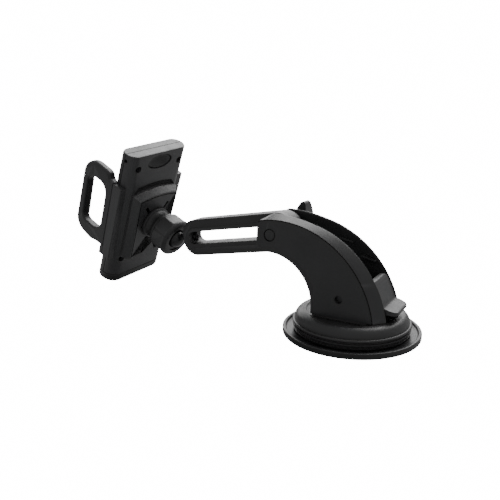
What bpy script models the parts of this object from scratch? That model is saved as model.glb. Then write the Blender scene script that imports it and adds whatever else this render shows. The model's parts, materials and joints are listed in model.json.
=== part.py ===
"""Car phone mount: suction base, curved arm, slotted link, ball socket and spring-jaw cradle.

World frame: the origin is the centre of the suction pad's underside, +Z up. The arm reaches
towards -X, its channel opens towards +X, and Y runs across it. Every length below is in
millimetres; finish() scales each mesh to metres.
"""

import math

import bmesh
import bpy
from mathutils import Matrix, Vector

MM = 0.001
GAP = 0.3  # clearance between pieces that touch

# Suction base
PAD_RADIUS = 40.0
PAD_LIP_TOP = 3.6
PAD_FLOOR = 1.9
PAD_BOSS_RADIUS = 9.0
PAD_BOSS_TOP = 3.2
STEM_FLANGE = 6.3  # underside; the room below it is the stem's travel
HOUSING_RADIUS = 34.0
HOUSING_RIM_RADIUS = 27.0
HOUSING_RIM_TOP = 14.0
DECK_TOP = 12.6
DECK_UNDERSIDE = 9.6
STEM_RADIUS = 3.2
FOOT_SCREWS = [(x, y) for x in (-13.0, 10.5) for y in (-13.6, 13.6)]

# Curved arm: arcs in the XZ plane as (centre x, centre z, radius)
INNER_ARC = (-46.7, 17.1, 28.7)
FACE_ARC = (-42.1, 3.1, 61.6)
CREST_ARC = (-36.4, 4.3, 61.5)
TIP_RISE = 2.9  # how far the crest lifts off its arc towards the arm's tip
ARM_FOOT = DECK_TOP + GAP
FLOOR_THICKNESS = 3.5
CHANNEL_HALF = 9.4
COVER_THICKNESS = 1.5

# Pivot at the arm's tip and the slotted link
AXLE = Vector((-45.9, 0.0, 55.8))
BOLT_RADIUS = 2.5
LINK_SLOPE = math.radians(9.6)
LINK_HALF_HEIGHT = 11.7
LINK_HALF_WIDTH = 7.0
LINK_CORNER = 10.0
SLOT_HALF = 4.0
SLOT_END = 65.4
LINK_END = 70.5
BALL_REACH = 82.2
BALL_RADIUS = 6.5
SOCKET_RADIUS = 8.9
COLLAR_RADIUS = 13.0

# Lock lever
LEVER_PIN = Vector((-1.4, 0.0, 24.7))
LEVER_PIN_RADIUS = 2.0
LEVER_HALF_WIDTH = 11.5
LEVER_TOP = 35.6
LEVER_INSET = 0.9  # how far the strap lies below the arm's crest

# Knob
KNOB_START = 21.0
KNOB_DEPTH = 14.0
KNOB_TURN = math.radians(14.0)

# Cradle, in its own frame: x out of the back (n), y across (w), z up (v), origin at the ball
CRADLE_PAN = math.radians(-4.8)
CRADLE_LEAN = math.radians(25.3)
CRADLE_ROLL = math.radians(7.4)
BACK_PLANE = -27.3
CRADLE_HALF_WIDTH = 24.9
CRADLE_TOP = 51.2
CRADLE_BOTTOM = -51.3
TOP_THICKNESS = 13.0
BOTTOM_THICKNESS = 18.1
FOOT_TOP = -45.0
BOSS_HEIGHT = 6.0
BOSS_HALF = 19.6
BOSS_TOP = 25.0
BUTTON_V = 44.3
BUTTON_HALF = (10.4, 5.1)
BACK_SCREWS = [(-18.0, 41.8), (18.0, 41.8), (-18.0, -30.3), (18.0, -30.3)]
CLAW_SLOTS = [(7.7, 10.7, -33.0), (-7.7, 10.7, 33.0), (5.1, -21.5, 25.0), (-5.1, -21.5, -25.0)]
CLAW_LENGTH = 7.6
CLAW_WIDTH = 2.2
PINION_RADIUS = 5.0
PINION_TEETH = 12
JAW_BACK = -29.6
RAIL_REACH = 11.0
BAR_FRONT = -36.4
BAR_BACK = -33.4

BLACK = (0.028, 0.028, 0.03)
COLOURS = {
    "black_plastic": (BLACK, 0.5, 0.0),
    "black_gloss": ((0.02, 0.02, 0.022), 0.3, 0.0),
    "rubber": ((0.02, 0.02, 0.02), 0.75, 0.0),
    "gel": ((0.03, 0.03, 0.032), 0.4, 0.0),
    "steel": ((0.55, 0.55, 0.56), 0.35, 1.0),
    "dark_steel": ((0.06, 0.06, 0.065), 0.4, 1.0),
    "brass": ((0.72, 0.53, 0.26), 0.35, 1.0),
    "nylon": ((0.75, 0.74, 0.7), 0.5, 0.0),
}


TURN = {
    "Z": Matrix(),
    "X": Matrix.Rotation(math.pi / 2, 4, "Y"),
    "Y": Matrix.Rotation(-math.pi / 2, 4, "X"),
}


def clear_scene():
    for obj in list(bpy.data.objects):
        bpy.data.objects.remove(obj)


def material(name):
    found = bpy.data.materials.get(name)
    if found:
        return found
    colour, roughness, metallic = COLOURS[name]
    made = bpy.data.materials.new(name)
    made.use_nodes = True
    shader = made.node_tree.nodes["Principled BSDF"]
    shader.inputs["Base Color"].default_value = (*colour, 1.0)
    shader.inputs["Roughness"].default_value = roughness
    shader.inputs["Metallic"].default_value = metallic
    made.diffuse_color = (*colour, 1.0)
    return made


def finish(bm, name, kind, parent=None, at=(0.0, 0.0, 0.0)):
    """Turns a bmesh in millimetres into a named object whose origin is at the point given."""
    bmesh.ops.remove_doubles(bm, verts=bm.verts, dist=1e-5)
    bmesh.ops.recalc_face_normals(bm, faces=bm.faces)
    place = Vector(at)
    bmesh.ops.translate(bm, verts=bm.verts, vec=-place)
    bmesh.ops.scale(bm, verts=bm.verts, vec=(MM, MM, MM))
    mesh = bpy.data.meshes.new(name)
    bm.to_mesh(mesh)
    bm.free()
    mesh.materials.append(material(kind))
    mesh.shade_smooth()
    mesh.set_sharp_from_angle(angle=math.radians(32))
    obj = bpy.data.objects.new(name, mesh)
    bpy.context.scene.collection.objects.link(obj)
    obj.location = place * MM
    if parent:
        obj.parent = parent
    return obj


def cut(obj, bm, name, operation="DIFFERENCE"):
    """Adds a Boolean with a hidden cutter that shares the object's own frame."""
    cutter = finish(bm, name, "black_plastic", obj.parent)
    cutter.hide_render = True
    cutter.display_type = "WIRE"
    modifier = obj.modifiers.new(name, "BOOLEAN")
    modifier.operation = operation
    modifier.solver = "EXACT"
    modifier.object = cutter


def ring_mesh(rings):
    """Skins a list of equal loops of points into one closed body with flat ends."""
    bm = bmesh.new()
    loops = [[bm.verts.new(point) for point in ring] for ring in rings]
    bm.faces.new(loops[0])
    bm.faces.new(list(reversed(loops[-1])))
    for first, second in zip(loops, loops[1:]):
        for k in range(len(first)):
            after = (k + 1) % len(first)
            bm.faces.new((first[after], first[k], second[k], second[after]))
    return bm


def prism(outline, low, high, axis="Y"):
    """Extrudes an outline along Y (outline in x, z), X (y, z) or Z (x, y)."""
    place = {
        "Y": lambda a, b, d: (a, d, b),
        "X": lambda a, b, d: (d, a, b),
        "Z": lambda a, b, d: (a, b, d),
    }[axis]
    return ring_mesh([[place(a, b, d) for a, b in outline] for d in (low, high)])


def arc(cx, cz, radius, start, end, steps):
    """Points of a circular arc, with its angles in degrees."""
    found = []
    for k in range(steps + 1):
        angle = math.radians(start + (end - start) * k / steps)
        found.append((cx + radius * math.cos(angle), cz + radius * math.sin(angle)))
    return found


def turned(profile, steps, axis="Z"):
    """Spins a profile of (radius, height) points round an axis; radius 0 closes on the axis."""
    bm = bmesh.new()
    columns = []
    for k in range(steps):
        angle = 2 * math.pi * k / steps
        column = []
        for index, (radius, height) in enumerate(profile):
            if radius == 0 and k:
                column.append(columns[0][index])
            else:
                point = Vector((radius * math.cos(angle), radius * math.sin(angle), height))
                column.append(bm.verts.new(TURN[axis] @ point))
        columns.append(column)
    for k in range(steps):
        here, there = columns[k], columns[(k + 1) % steps]
        for j in range(len(profile)):
            after = (j + 1) % len(profile)
            corners = []
            for vert in (here[j], here[after], there[after], there[j]):
                if vert not in corners:
                    corners.append(vert)
            if len(corners) > 2:
                bm.faces.new(corners)
    return bm


def moved(bm, x=0.0, y=0.0, z=0.0):
    bmesh.ops.translate(bm, verts=bm.verts, vec=(x, y, z))
    return bm


def turned_by(bm, matrix):
    bmesh.ops.transform(bm, matrix=matrix, verts=bm.verts)
    return bm


def block(low, high):
    bm = bmesh.new()
    bmesh.ops.create_cube(bm, size=1.0)
    for vert in bm.verts:
        for k in range(3):
            vert.co[k] = low[k] if vert.co[k] < 0 else high[k]
    return bm


def rod(radius, low, high, steps=32, axis="Z"):
    return turned([(0, low), (radius, low), (radius, high), (0, high)], steps, axis)


def tube(inner, outer, low, high, steps=32, axis="Z"):
    return turned([(inner, low), (outer, low), (outer, high), (inner, high)], steps, axis)


def corner(x_tip, z_tip, radius, turn_x=1, turn_z=1, steps=6):
    """The waste outside of a rounded corner, as an outline in two axes."""
    start_x, start_z = x_tip - turn_x * radius, z_tip - turn_z * radius
    found = []
    for k in range(steps + 1):
        angle = math.pi / 2 * k / steps
        found.append(
            (start_x + turn_x * radius * math.sin(angle), start_z + turn_z * radius * math.cos(angle))
        )
    found.append((x_tip + turn_x, start_z))
    found.append((x_tip + turn_x, z_tip + turn_z))
    found.append((start_x, z_tip + turn_z))
    return found


def coil(radius, wire, low, high, turns, axis="Z"):
    """A helical spring as a tube round a helix, with closed ends."""
    rings = []
    sides, per_turn = 6, 14
    steps = int(turns * per_turn)
    for k in range(steps + 1):
        angle = 2 * math.pi * turns * k / steps
        height = low + wire + (high - low - 2 * wire) * k / steps
        out = Vector((math.cos(angle), math.sin(angle), 0))
        ring = []
        for j in range(sides):
            around = 2 * math.pi * j / sides
            point = out * (radius + wire * math.cos(around))
            point.z = height + wire * math.sin(around)
            ring.append(TURN[axis] @ point)
        rings.append(ring)
    return ring_mesh(rings)


# ---------------------------------------------------------------- suction base


def gel_pad():
    lip = 1.6
    outer = PAD_RADIUS
    profile = [
        (0, 0),
        (outer - 0.8, 0),
        (outer, 0.8),
        (outer, PAD_LIP_TOP - 0.5),
        (outer - 0.5, PAD_LIP_TOP),
        (outer - lip, PAD_LIP_TOP),
        (outer - lip - 0.8, PAD_FLOOR + 0.3),
        (outer - lip - 1.6, PAD_FLOOR),
        (PAD_BOSS_RADIUS + 1, PAD_FLOOR),
        (PAD_BOSS_RADIUS, PAD_FLOOR + 0.6),
        (PAD_BOSS_RADIUS, PAD_BOSS_TOP),
        (0, PAD_BOSS_TOP),
    ]
    finish(turned(profile, 64), "gel_pad", "gel")


def suction_housing():
    under = PAD_FLOOR + 0.5
    outer = [
        (HOUSING_RADIUS - 1.6, under),
        (HOUSING_RADIUS - 0.6, under + 1.2),
        (HOUSING_RADIUS - 0.6, 4.6),
        (HOUSING_RADIUS, 5.0),
        (HOUSING_RADIUS, 5.8),
        (HOUSING_RADIUS - 0.5, 6.3),
        (HOUSING_RADIUS - 0.5, 6.9),
        (HOUSING_RADIUS + 0.3, 7.4),
        (HOUSING_RADIUS + 0.1, 8.2),
        (HOUSING_RADIUS - 0.9, 8.5),
    ]
    rise = HOUSING_RIM_TOP - 8.5
    swell = HOUSING_RADIUS - 1.0 - (HOUSING_RIM_RADIUS + 0.6)
    dome = []
    for k in range(1, 6):
        angle = math.pi / 2 * k / 6
        dome.append(
            (HOUSING_RIM_RADIUS + 0.6 + swell * math.cos(angle), 8.5 + rise * math.sin(angle))
        )
    rim = [
        (HOUSING_RIM_RADIUS, HOUSING_RIM_TOP),
        (HOUSING_RIM_RADIUS - 1.0, HOUSING_RIM_TOP - 0.3),
        (HOUSING_RIM_RADIUS - 2.2, DECK_TOP),
    ]
    bore = STEM_RADIUS + 1.2
    inside = [
        (bore, DECK_TOP),
        (bore, DECK_UNDERSIDE),
        (HOUSING_RIM_RADIUS - 2.0, DECK_UNDERSIDE),
        (HOUSING_RADIUS - 3.2, 6.5),
        (HOUSING_RADIUS - 3.2, under),
    ]
    obj = finish(turned(outer + dome + rim + inside, 56), "suction_housing", "black_plastic")
    for k, (x, y) in enumerate(FOOT_SCREWS):
        cut(obj, moved(rod(1.6, 6.0, 14.0, 16), x, y), f"housing_screw_hole_{k}")


def housing_screws():
    for k, (x, y) in enumerate(FOOT_SCREWS):
        head, shank = 2.8, 1.25
        top = DECK_UNDERSIDE - 0.1
        profile = [
            (0, top - 1.6),
            (head, top - 1.6),
            (head, top),
            (shank, top),
            (shank, 18.0),
            (0, 18.6),
        ]
        screw = moved(turned(profile, 20), x, y)
        finish(screw, f"housing_screw_{k + 1}", "dark_steel")


def suction_stem():
    """The stem draws up the pad's boss under the pull of the lever's eccentric."""
    profile = [
        (0, STEM_FLANGE),
        (PAD_BOSS_RADIUS - 1, STEM_FLANGE),
        (PAD_BOSS_RADIUS - 1, STEM_FLANGE + 0.9),
        (STEM_RADIUS, STEM_FLANGE + 1.1),
        (STEM_RADIUS, 18.4),
        (STEM_RADIUS - 0.6, 19.0),
        (0, 19.0),
    ]
    finish(turned(profile, 32), "suction_stem", "steel")


def stem_spring():
    bm = coil(5.6, 0.35, STEM_FLANGE + 1.4, DECK_UNDERSIDE - 0.2, 1.5)
    finish(bm, "stem_spring", "steel")


# ---------------------------------------------------------------- curved arm


def half_width(z):
    """The arm is a little wider at its foot than at its tip."""
    return 16.3 + (58.0 - z) * 2.7 / 41.0


def crest_half(z):
    return 10.1 + (64.0 - z) * 2.2 / 44.0


def on_arc(spec, angle):
    cx, cz, radius = spec
    return Vector((cx + radius * math.cos(angle), 0, cz + radius * math.sin(angle)))


def arm_stations():
    """Pairs of points across the arm, from its tip to its foot: inner edge, face edge, crest."""
    found = [
        (Vector((-54.2, 0, 49.6)), Vector((-54.2, 0, 61.8)), Vector((-54.2, 0, 62.8))),
        (Vector((-52.6, 0, 47.8)), Vector((-52.6, 0, 63.5)), Vector((-51.8, 0, 65.0))),
    ]
    count = 22
    for k in range(count + 1):
        share = k / count
        inner = on_arc(INNER_ARC, math.radians(93.0 * (1 - share)))
        face = on_arc(FACE_ARC, math.radians(96.5 + (14.5 - 96.5) * share))
        crest = on_arc(CREST_ARC, math.radians(99.5 + (11.5 - 99.5) * share))
        crest.z += TIP_RISE * max(0.0, 1 - share / 0.28) ** 1.5
        found.append((inner, face, crest))
    foot_inner = Vector((INNER_ARC[0] + INNER_ARC[2], 0, ARM_FOOT))
    foot_face = on_arc(FACE_ARC, math.asin((ARM_FOOT - FACE_ARC[1]) / FACE_ARC[2]))
    foot_crest = on_arc(CREST_ARC, math.asin((ARM_FOOT - CREST_ARC[1]) / CREST_ARC[2]))
    found.append((foot_inner, foot_face, foot_crest))
    return found


def arm_ring(inner, face, crest):
    """One closed loop round the U section at a station, near side first."""
    across = (face - inner).normalized()
    recess = COVER_THICKNESS + GAP
    floor = inner + across * FLOOR_THICKNESS
    half = []
    wide = half_width(inner.z)
    half.append((inner, wide - recess))
    wide = half_width(face.z)
    lip = face + across * GAP
    half.append((lip, wide - recess))
    half.append((lip, wide))
    tall = crest_half(crest.z)
    half.append((crest - (crest - face) * 0.06, tall + 0.5))
    half.append((crest - across * 0.25, tall - 0.2))
    half.append((crest - across * 1.2, tall - 0.6))
    half.append((floor, crest_half(inner.z) - 0.6))
    near = [(point.x, -side, point.z) for point, side in half]
    far = [(point.x, side, point.z) for point, side in reversed(half)]
    return near + far


def curved_arm():
    rings = [arm_ring(*station) for station in arm_stations()]
    arm = finish(ring_mesh(rings), "curved_arm", "black_plastic")
    # The tip is a fork: the channel's floor is left out round the link.
    fork = [(-60, 38), (-22, 30), (-22, 50), (-18, 54), (-18, 72), (-60, 72)]
    cut(arm, prism(fork, -CHANNEL_HALF, CHANNEL_HALF), "fork_gap")
    bolt = moved(rod(BOLT_RADIUS + 0.15, -25, 25, 32, "Y"), AXLE.x, 0, AXLE.z)
    cut(arm, bolt, "bolt_bore")
    pin = moved(rod(LEVER_PIN_RADIUS + 0.1, -25, 25, 24, "Y"), LEVER_PIN.x, 0, LEVER_PIN.z)
    cut(arm, pin, "lever_pin_bore")
    # The lever's tab and the stem pass through the foot of the channel.
    cut(arm, block((-9, -9.2, 8), (16, 9.2, 22.5)), "foot_window")
    for k, (x, y) in enumerate(FOOT_SCREWS):
        cut(arm, moved(rod(1.35, 10.0, 18.9, 16), x, y), f"arm_screw_hole_{k}")
    cut(arm, rim_room(), "arm_rim_room")
    cut(arm, lever_room(), "lever_room")


def rim_room():
    """The foot's corners stand on the housing's rim."""
    return tube(HOUSING_RIM_RADIUS - 2.6, HOUSING_RIM_RADIUS + 6.0, 10.0, HOUSING_RIM_TOP + GAP, 56)


def lever_room():
    """What the lever's strap passes through as it swings up, as a prism between the arm's bands."""
    outline = [(20.8, 76.0 - 6.0 * k) for k in range(6)]
    outline += [(21.1, 41.5), (21.45, 37.6), (40.0, 36.6), (40.0, -45.0)]
    outline += [(16.2, -45.0 + 12.1 * k) for k in range(11)]
    points = []
    for reach, degrees in outline:
        angle = math.radians(degrees)
        points.append((LEVER_PIN.x + reach * math.cos(angle), LEVER_PIN.z + reach * math.sin(angle)))
    return prism(points, -LEVER_HALF_WIDTH - GAP, LEVER_HALF_WIDTH + GAP)


def side_cover(side, name):
    """A thin panel let into the arm's side, between its inner edge and the crest's band."""
    rings = []
    for inner, face, _ in arm_stations():
        low, high = half_width(inner.z), half_width(face.z)
        thick = COVER_THICKNESS
        edge = (inner - face).normalized()
        inset = face + edge * 0.15
        bevel = inner - edge * 0.6
        loop = [
            (inner.x, side * (low - thick), inner.z),
            (inner.x, side * (low - 0.6), inner.z),
            (bevel.x, side * low, bevel.z),
            (inset.x, side * high, inset.z),
            (inset.x, side * (high - thick), inset.z),
        ]
        rings.append(loop if side < 0 else loop[::-1])
    cover = finish(ring_mesh(rings), name, "black_plastic")
    cap = moved(rod(3.75, -25, 25, 40, "Y"), AXLE.x, 0, AXLE.z)
    cut(cover, cap, f"{name}_cap_hole")
    pin = moved(rod(LEVER_PIN_RADIUS + 0.35, -25, 25, 24, "Y"), LEVER_PIN.x, 0, LEVER_PIN.z)
    cut(cover, pin, f"{name}_pin_hole")
    cut(cover, rim_room(), f"{name}_rim_room")


def lever_pin():
    reach = half_width(LEVER_PIN.z) - 2.2
    pin = rod(LEVER_PIN_RADIUS, -reach, reach, 24, "Y")
    finish(moved(pin, LEVER_PIN.x, 0, LEVER_PIN.z), "lever_pin", "dark_steel", at=LEVER_PIN)


def lock_lever():
    """A strap in the arm's back that ends in a thin tab, with a hub on the lever pin."""
    low, thick = 22.8, 3.0
    strap = []
    for k in range(7):
        z = LEVER_TOP - 1.0 - (LEVER_TOP - 1.0 - low) * k / 6
        reach = math.sqrt(CREST_ARC[2] ** 2 - (z - CREST_ARC[1]) ** 2)
        strap.append((CREST_ARC[0] + reach - LEVER_INSET, z))
    foot_x = strap[-1][0]
    tip = 29.6
    tab = [
        (foot_x + 1.4, 21.5),
        (foot_x + 3.6, 20.9),
        (tip - 1.4, 20.0),
        (tip - 0.2, 19.3),
        (tip, 18.4),
        (tip - 0.6, 17.7),
        (foot_x + 3.0, 18.3),
        (foot_x - 1.0, 16.6),
        (foot_x - 3.0, 16.6),
    ]
    inside = [(x - thick, z) for x, z in reversed(strap)]
    head = [(strap[0][0] - thick, LEVER_TOP), (strap[0][0] - 1.2, LEVER_TOP)]
    lever = finish(
        prism(strap + tab + inside + head, -LEVER_HALF_WIDTH, LEVER_HALF_WIDTH),
        "lock_lever",
        "black_plastic",
        at=LEVER_PIN,
    )
    for side in (-1, 1):
        edge = side * LEVER_HALF_WIDTH
        cut(lever, prism(corner(tip, edge, 5.0, 1, side), 10, 26, "Z"), f"tab_corner_{side}")
        cut(lever, prism(corner(edge, LEVER_TOP, 3.5, side, 1), 5, 30, "X"), f"head_corner_{side}")
    web = prism([(-1.5, 20.2), (17.5, 17.5), (16.5, 30.5), (-1.5, 29.4)], -3.0, 3.0)
    cut(lever, web, "lever_web", "UNION")
    hub = moved(rod(5.2, -7.0, 7.0, 32, "Y"), LEVER_PIN.x, 0, LEVER_PIN.z)
    cut(lever, hub, "lever_hub", "UNION")
    bore = moved(rod(LEVER_PIN_RADIUS + 0.06, -12, 12, 32, "Y"), LEVER_PIN.x, 0, LEVER_PIN.z)
    cut(lever, bore, "lever_bore")


# ---------------------------------------------------------------- pivot and knob


def pivot_bolt():
    head = half_width(AXLE.z)
    profile = [
        (0, -head + 0.1),
        (2.9, -head + 0.1),
        (3.3, -head + 0.4),
        (3.3, -head + COVER_THICKNESS - 0.1),
        (BOLT_RADIUS, -head + COVER_THICKNESS - 0.1),
        (BOLT_RADIUS, KNOB_START + 9.0),
        (0, KNOB_START + 9.0),
    ]
    finish(moved(turned(profile, 40, "Y"), AXLE.x, 0, AXLE.z), "pivot_bolt", "dark_steel", at=AXLE)


def knob_washer():
    start = half_width(AXLE.z - 8.5) + GAP
    bm = tube(BOLT_RADIUS + 0.15, 8.5, start, KNOB_START - GAP, 40, "Y")
    finish(moved(bm, AXLE.x, 0, AXLE.z), "knob_washer", "black_plastic", at=AXLE)


def wing_knob():
    start, end = KNOB_START, KNOB_START + KNOB_DEPTH
    profile = [
        (0, start + 10.0),
        (4.6, start + 10.0),
        (4.6, start),
        (7.6, start),
        (8.2, start + 0.8),
        (7.6, end - 1.2),
        (6.4, end),
        (0, end),
    ]
    knob = finish(
        moved(turned(profile, 40, "Y"), AXLE.x, 0, AXLE.z), "wing_knob", "black_plastic", at=AXLE
    )
    flank = [(4.2, 5.0), (3.4, 9.5), (1.9, 14.2), (1.0, 15.1)]
    wing = [(-x, z) for x, z in flank] + flank[::-1]
    for k, lobe in enumerate((0.0, math.pi)):
        bm = prism(wing, start + 0.4, end - 0.6)
        bmesh.ops.bevel(
            bm, geom=bm.edges[:], offset=0.5, segments=1, profile=0.5, affect="EDGES"
        )
        for vert in bm.verts:
            if vert.co.y > start + 5:
                vert.co.y -= 0.5 * (vert.co.z - 5.0)
        turned_by(bm, Matrix.Rotation(KNOB_TURN + lobe, 4, "Y"))
        cut(knob, moved(bm, AXLE.x, 0, AXLE.z), f"knob_wing_{k}", "UNION")


def knob_insert():
    bm = rod(4.3, KNOB_START + 0.4, KNOB_START + 9.4, 6, "Y")
    insert = finish(moved(bm, AXLE.x, 0, AXLE.z), "knob_insert", "brass", at=AXLE)
    bore = moved(rod(BOLT_RADIUS + 0.06, 10, 40, 32, "Y"), AXLE.x, 0, AXLE.z)
    cut(insert, bore, "insert_bore")


def guide_bush():
    reach = LINK_HALF_WIDTH - 0.2
    bm = tube(BOLT_RADIUS + 0.06, SLOT_HALF - GAP, -reach, reach, 40, "Y")
    finish(moved(bm, AXLE.x, 0, AXLE.z), "guide_bush", "nylon", at=AXLE)


def pivot_washers():
    for side, name in ((-1, "friction_washer_near"), (1, "friction_washer_far")):
        low, high = sorted((side * (LINK_HALF_WIDTH + 0.25), side * (CHANNEL_HALF - 0.3)))
        bm = tube(BOLT_RADIUS + 0.15, 9.0, low, high, 40, "Y")
        finish(moved(bm, AXLE.x, 0, AXLE.z), name, "rubber", at=AXLE)


# ---------------------------------------------------------------- slotted link


def link_point(along, up):
    """A point of the link's own plane: along from the axle towards the ball, and up across it."""
    x = AXLE.x - along * math.cos(LINK_SLOPE) - up * math.sin(LINK_SLOPE)
    z = AXLE.z - along * math.sin(LINK_SLOPE) + up * math.cos(LINK_SLOPE)
    return (x, z)


def stadium(start, end, radius, steps=12):
    right = arc(start, 0, radius, -90, -270, steps)
    left = arc(end, 0, radius, 90, -90, steps)
    return right + left


def link_outline():
    height = LINK_HALF_HEIGHT
    right = arc(0, 0, height, -90, -270, 20)
    upper = arc(LINK_END - LINK_CORNER, height - LINK_CORNER, LINK_CORNER, 90, 0, 8)
    lower = arc(LINK_END - LINK_CORNER, LINK_CORNER - height, LINK_CORNER, 0, -90, 8)
    return right + upper + lower


def slotted_link():
    outline = [link_point(*p) for p in link_outline()]
    bm = prism(outline, -LINK_HALF_WIDTH + 0.4, LINK_HALF_WIDTH - 0.4)
    link = finish(bm, "slotted_link", "black_plastic", at=AXLE)
    border = [link_point(*p) for p in stadium(0, SLOT_END - SLOT_HALF, SLOT_HALF + 2.6)]
    cut(link, prism(border, -LINK_HALF_WIDTH, LINK_HALF_WIDTH), "link_border", "UNION")
    slot = [link_point(*p) for p in stadium(0, SLOT_END - SLOT_HALF, SLOT_HALF)]
    cut(link, prism(slot, -12, 12), "link_slot")
    hole = rod(2.3, SLOT_END - 8, LINK_END + 4, 24, "X")
    cut(link, along_link(hole), "link_end_hole")
    seat = rod(3.2, SLOT_END - 8, SLOT_END, 24, "X")
    cut(link, along_link(seat), "link_screw_seat")


def along_link(bm):
    """Places a shape whose +X runs from the axle to the ball."""
    frame = Matrix.Translation(AXLE) @ Matrix.Rotation(math.pi - LINK_SLOPE, 4, "Y")
    turned_by(bm, frame)
    return bm


def link_end_screw():
    profile = [
        (0, SLOT_END - 1.9),
        (2.0, SLOT_END - 1.9),
        (2.9, SLOT_END - 1.2),
        (2.9, SLOT_END - 0.25),
        (1.3, SLOT_END - 0.25),
        (1.3, SLOT_END + 4.4),
        (0, SLOT_END + 4.4),
    ]
    screw = finish(along_link(turned(profile, 28, "X")), "link_end_screw", "dark_steel", at=AXLE)
    recess = block((SLOT_END - 3, -0.35, -1.5), (SLOT_END - 1.2, 0.35, 1.5))
    cut(screw, along_link(recess), "screw_slot_a")
    recess = block((SLOT_END - 3, -1.5, -0.35), (SLOT_END - 1.2, 1.5, 0.35))
    cut(screw, along_link(recess), "screw_slot_b")


def ball_stud():
    """The ball with its thin neck, a flange on the link's end and a shank round the screw."""
    neck, flange = 2.4, 4.6
    profile = [
        (1.55, SLOT_END + 0.6),
        (2.05, SLOT_END + 0.6),
        (2.05, LINK_END + GAP),
        (flange, LINK_END + GAP),
        (flange, LINK_END + 1.2),
        (neck, LINK_END + 2.6),
    ]
    first = math.acos(-neck / BALL_RADIUS) - math.pi / 2
    for k in range(11):
        angle = first + (math.pi - first) * k / 10
        out = BALL_RADIUS * math.sin(angle) if k < 10 else 0.0
        profile.append((out, BALL_REACH - BALL_RADIUS * math.cos(angle)))
    profile += [(0, SLOT_END + 5.0), (1.55, SLOT_END + 5.0)]
    bm = along_link(turned(profile, 36, "X"))
    finish(bm, "ball_stud", "black_gloss", at=ball_centre())


def ball_centre():
    x, z = link_point(BALL_REACH, 0)
    return Vector((x, 0, z))


# ---------------------------------------------------------------- ball socket


def cradle_frame():
    """An empty at the ball's centre: +X out of the cradle's back, +Y across it, +Z up it."""
    empty = bpy.data.objects.new("cradle_frame", None)
    bpy.context.scene.collection.objects.link(empty)
    empty.rotation_mode = "XYZ"
    empty.rotation_euler = (CRADLE_ROLL, CRADLE_LEAN, CRADLE_PAN)
    empty.location = ball_centre() * MM
    bpy.context.view_layer.update()
    return empty


def shell_zone(inner, outer, start, end, steps):
    """Profile of a spherical shell round X, between two angles from the -X pole in degrees."""
    profile = []
    for radius, first, last in ((outer, start, end), (inner, end, start)):
        for k in range(steps + 1):
            angle = math.radians(first + (last - first) * k / steps)
            along, out = -radius * math.cos(angle), radius * math.sin(angle)
            profile.append((0.0 if angle == 0 else out, along))
    return profile


def grip_ring(frame):
    bm = turned(shell_zone(BALL_RADIUS + 0.25, SOCKET_RADIUS - 0.25, 57, 100, 5), 36, "X")
    finish(bm, "grip_ring", "black_gloss", frame)


def friction_pad(frame):
    bm = turned(shell_zone(BALL_RADIUS + 0.25, SOCKET_RADIUS - 0.25, 0, 20, 4), 28, "X")
    finish(bm, "friction_pad", "rubber", frame)


def socket_cup(frame):
    """The cup behind the ball, with a flange and two hooks that hold it to the panel."""
    panel = BACK_PLANE + BOSS_HEIGHT + GAP
    cavity = []
    for k in range(8):
        angle = math.radians(86.5 * (1 - k / 7))
        out = SOCKET_RADIUS * math.sin(angle) if k < 7 else 0.0
        cavity.append((out, -SOCKET_RADIUS * math.cos(angle)))
    outer = [
        (0, panel),
        (11.4, panel),
        (11.4, panel + 2.6),
        (9.6, -14.6),
        (11.2, -12.6),
        (11.2, -11.2),
        (10.3, -10.9),
        (10.3, cavity[0][1]),
    ]
    cup = finish(turned(outer + cavity, 40, "X"), "socket_cup", "black_plastic", frame)
    for k, slot in enumerate(CLAW_SLOTS[:2]):
        cut(cup, claw(slot, panel), f"claw_{k}", "UNION")


def claw_place(slot):
    across, up, lean = slot
    return Matrix.Translation((0, across, up)) @ Matrix.Rotation(math.radians(lean), 4, "X")


def claw(slot, panel):
    """A hook under the cup's flange, in the inner end of a slot in the back panel."""
    low = -CLAW_LENGTH / 2 + GAP
    bm = block((panel - 2.6, -0.8, low), (panel + 0.9, 0.8, low + 1.7))
    return turned_by(bm, claw_place(slot))


def collar_nut(frame):
    """Eight-sided nut round the socket: its lip closes over the ball."""
    front, back = 2.5, -10.4
    inside = []
    for k in range(5):
        angle = math.radians(90 - 16.3 * (1 - k / 4))
        inside.append((SOCKET_RADIUS * math.sin(angle), SOCKET_RADIUS * math.cos(angle)))
    profile = [
        (10.6, -0.3),
        (10.6, back),
        (COLLAR_RADIUS - 0.9, back),
        (COLLAR_RADIUS - 0.2, back + 0.8),
        (COLLAR_RADIUS, back + 1.8),
        (COLLAR_RADIUS, 0.1),
        (COLLAR_RADIUS - 0.6, 1.2),
        (COLLAR_RADIUS - 1.9, front),
        (SOCKET_RADIUS + 0.4, front),
    ]
    nut = finish(turned(profile + inside, 48, "X"), "collar_nut", "black_plastic", frame)
    for k in range(8):
        flat = block((back - 2, COLLAR_RADIUS - 0.75, -9), (-0.8, COLLAR_RADIUS + 4, 9))
        turned_by(flat, Matrix.Rotation(math.radians(45 * k + 88), 4, "X"))
        cut(nut, flat, f"collar_flat_{k}")


# ---------------------------------------------------------------- cradle shells


def thickness(v):
    share = (CRADLE_TOP - v) / (CRADLE_TOP - CRADLE_BOTTOM)
    return TOP_THICKNESS + (BOTTOM_THICKNESS - TOP_THICKNESS) * share


def half_section(v, side, shrink=0.0, split=0.15):
    """Half of the cradle's long rounded section at a height: side +1 is the back, -1 the front."""
    thick = thickness(v)
    middle = BACK_PLANE - thick / 2
    radius = thick / 2 - shrink
    flat = CRADLE_HALF_WIDTH - thick / 2
    found = []
    for edge in (-1, 1):
        for k in range(9):
            angle = math.pi / 2 * (k / 8 if edge < 0 else 1 - k / 8)
            out = max(radius * math.sin(angle), split)
            found.append((middle + side * out, edge * (flat + radius * math.cos(angle)), v))
    return found


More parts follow.
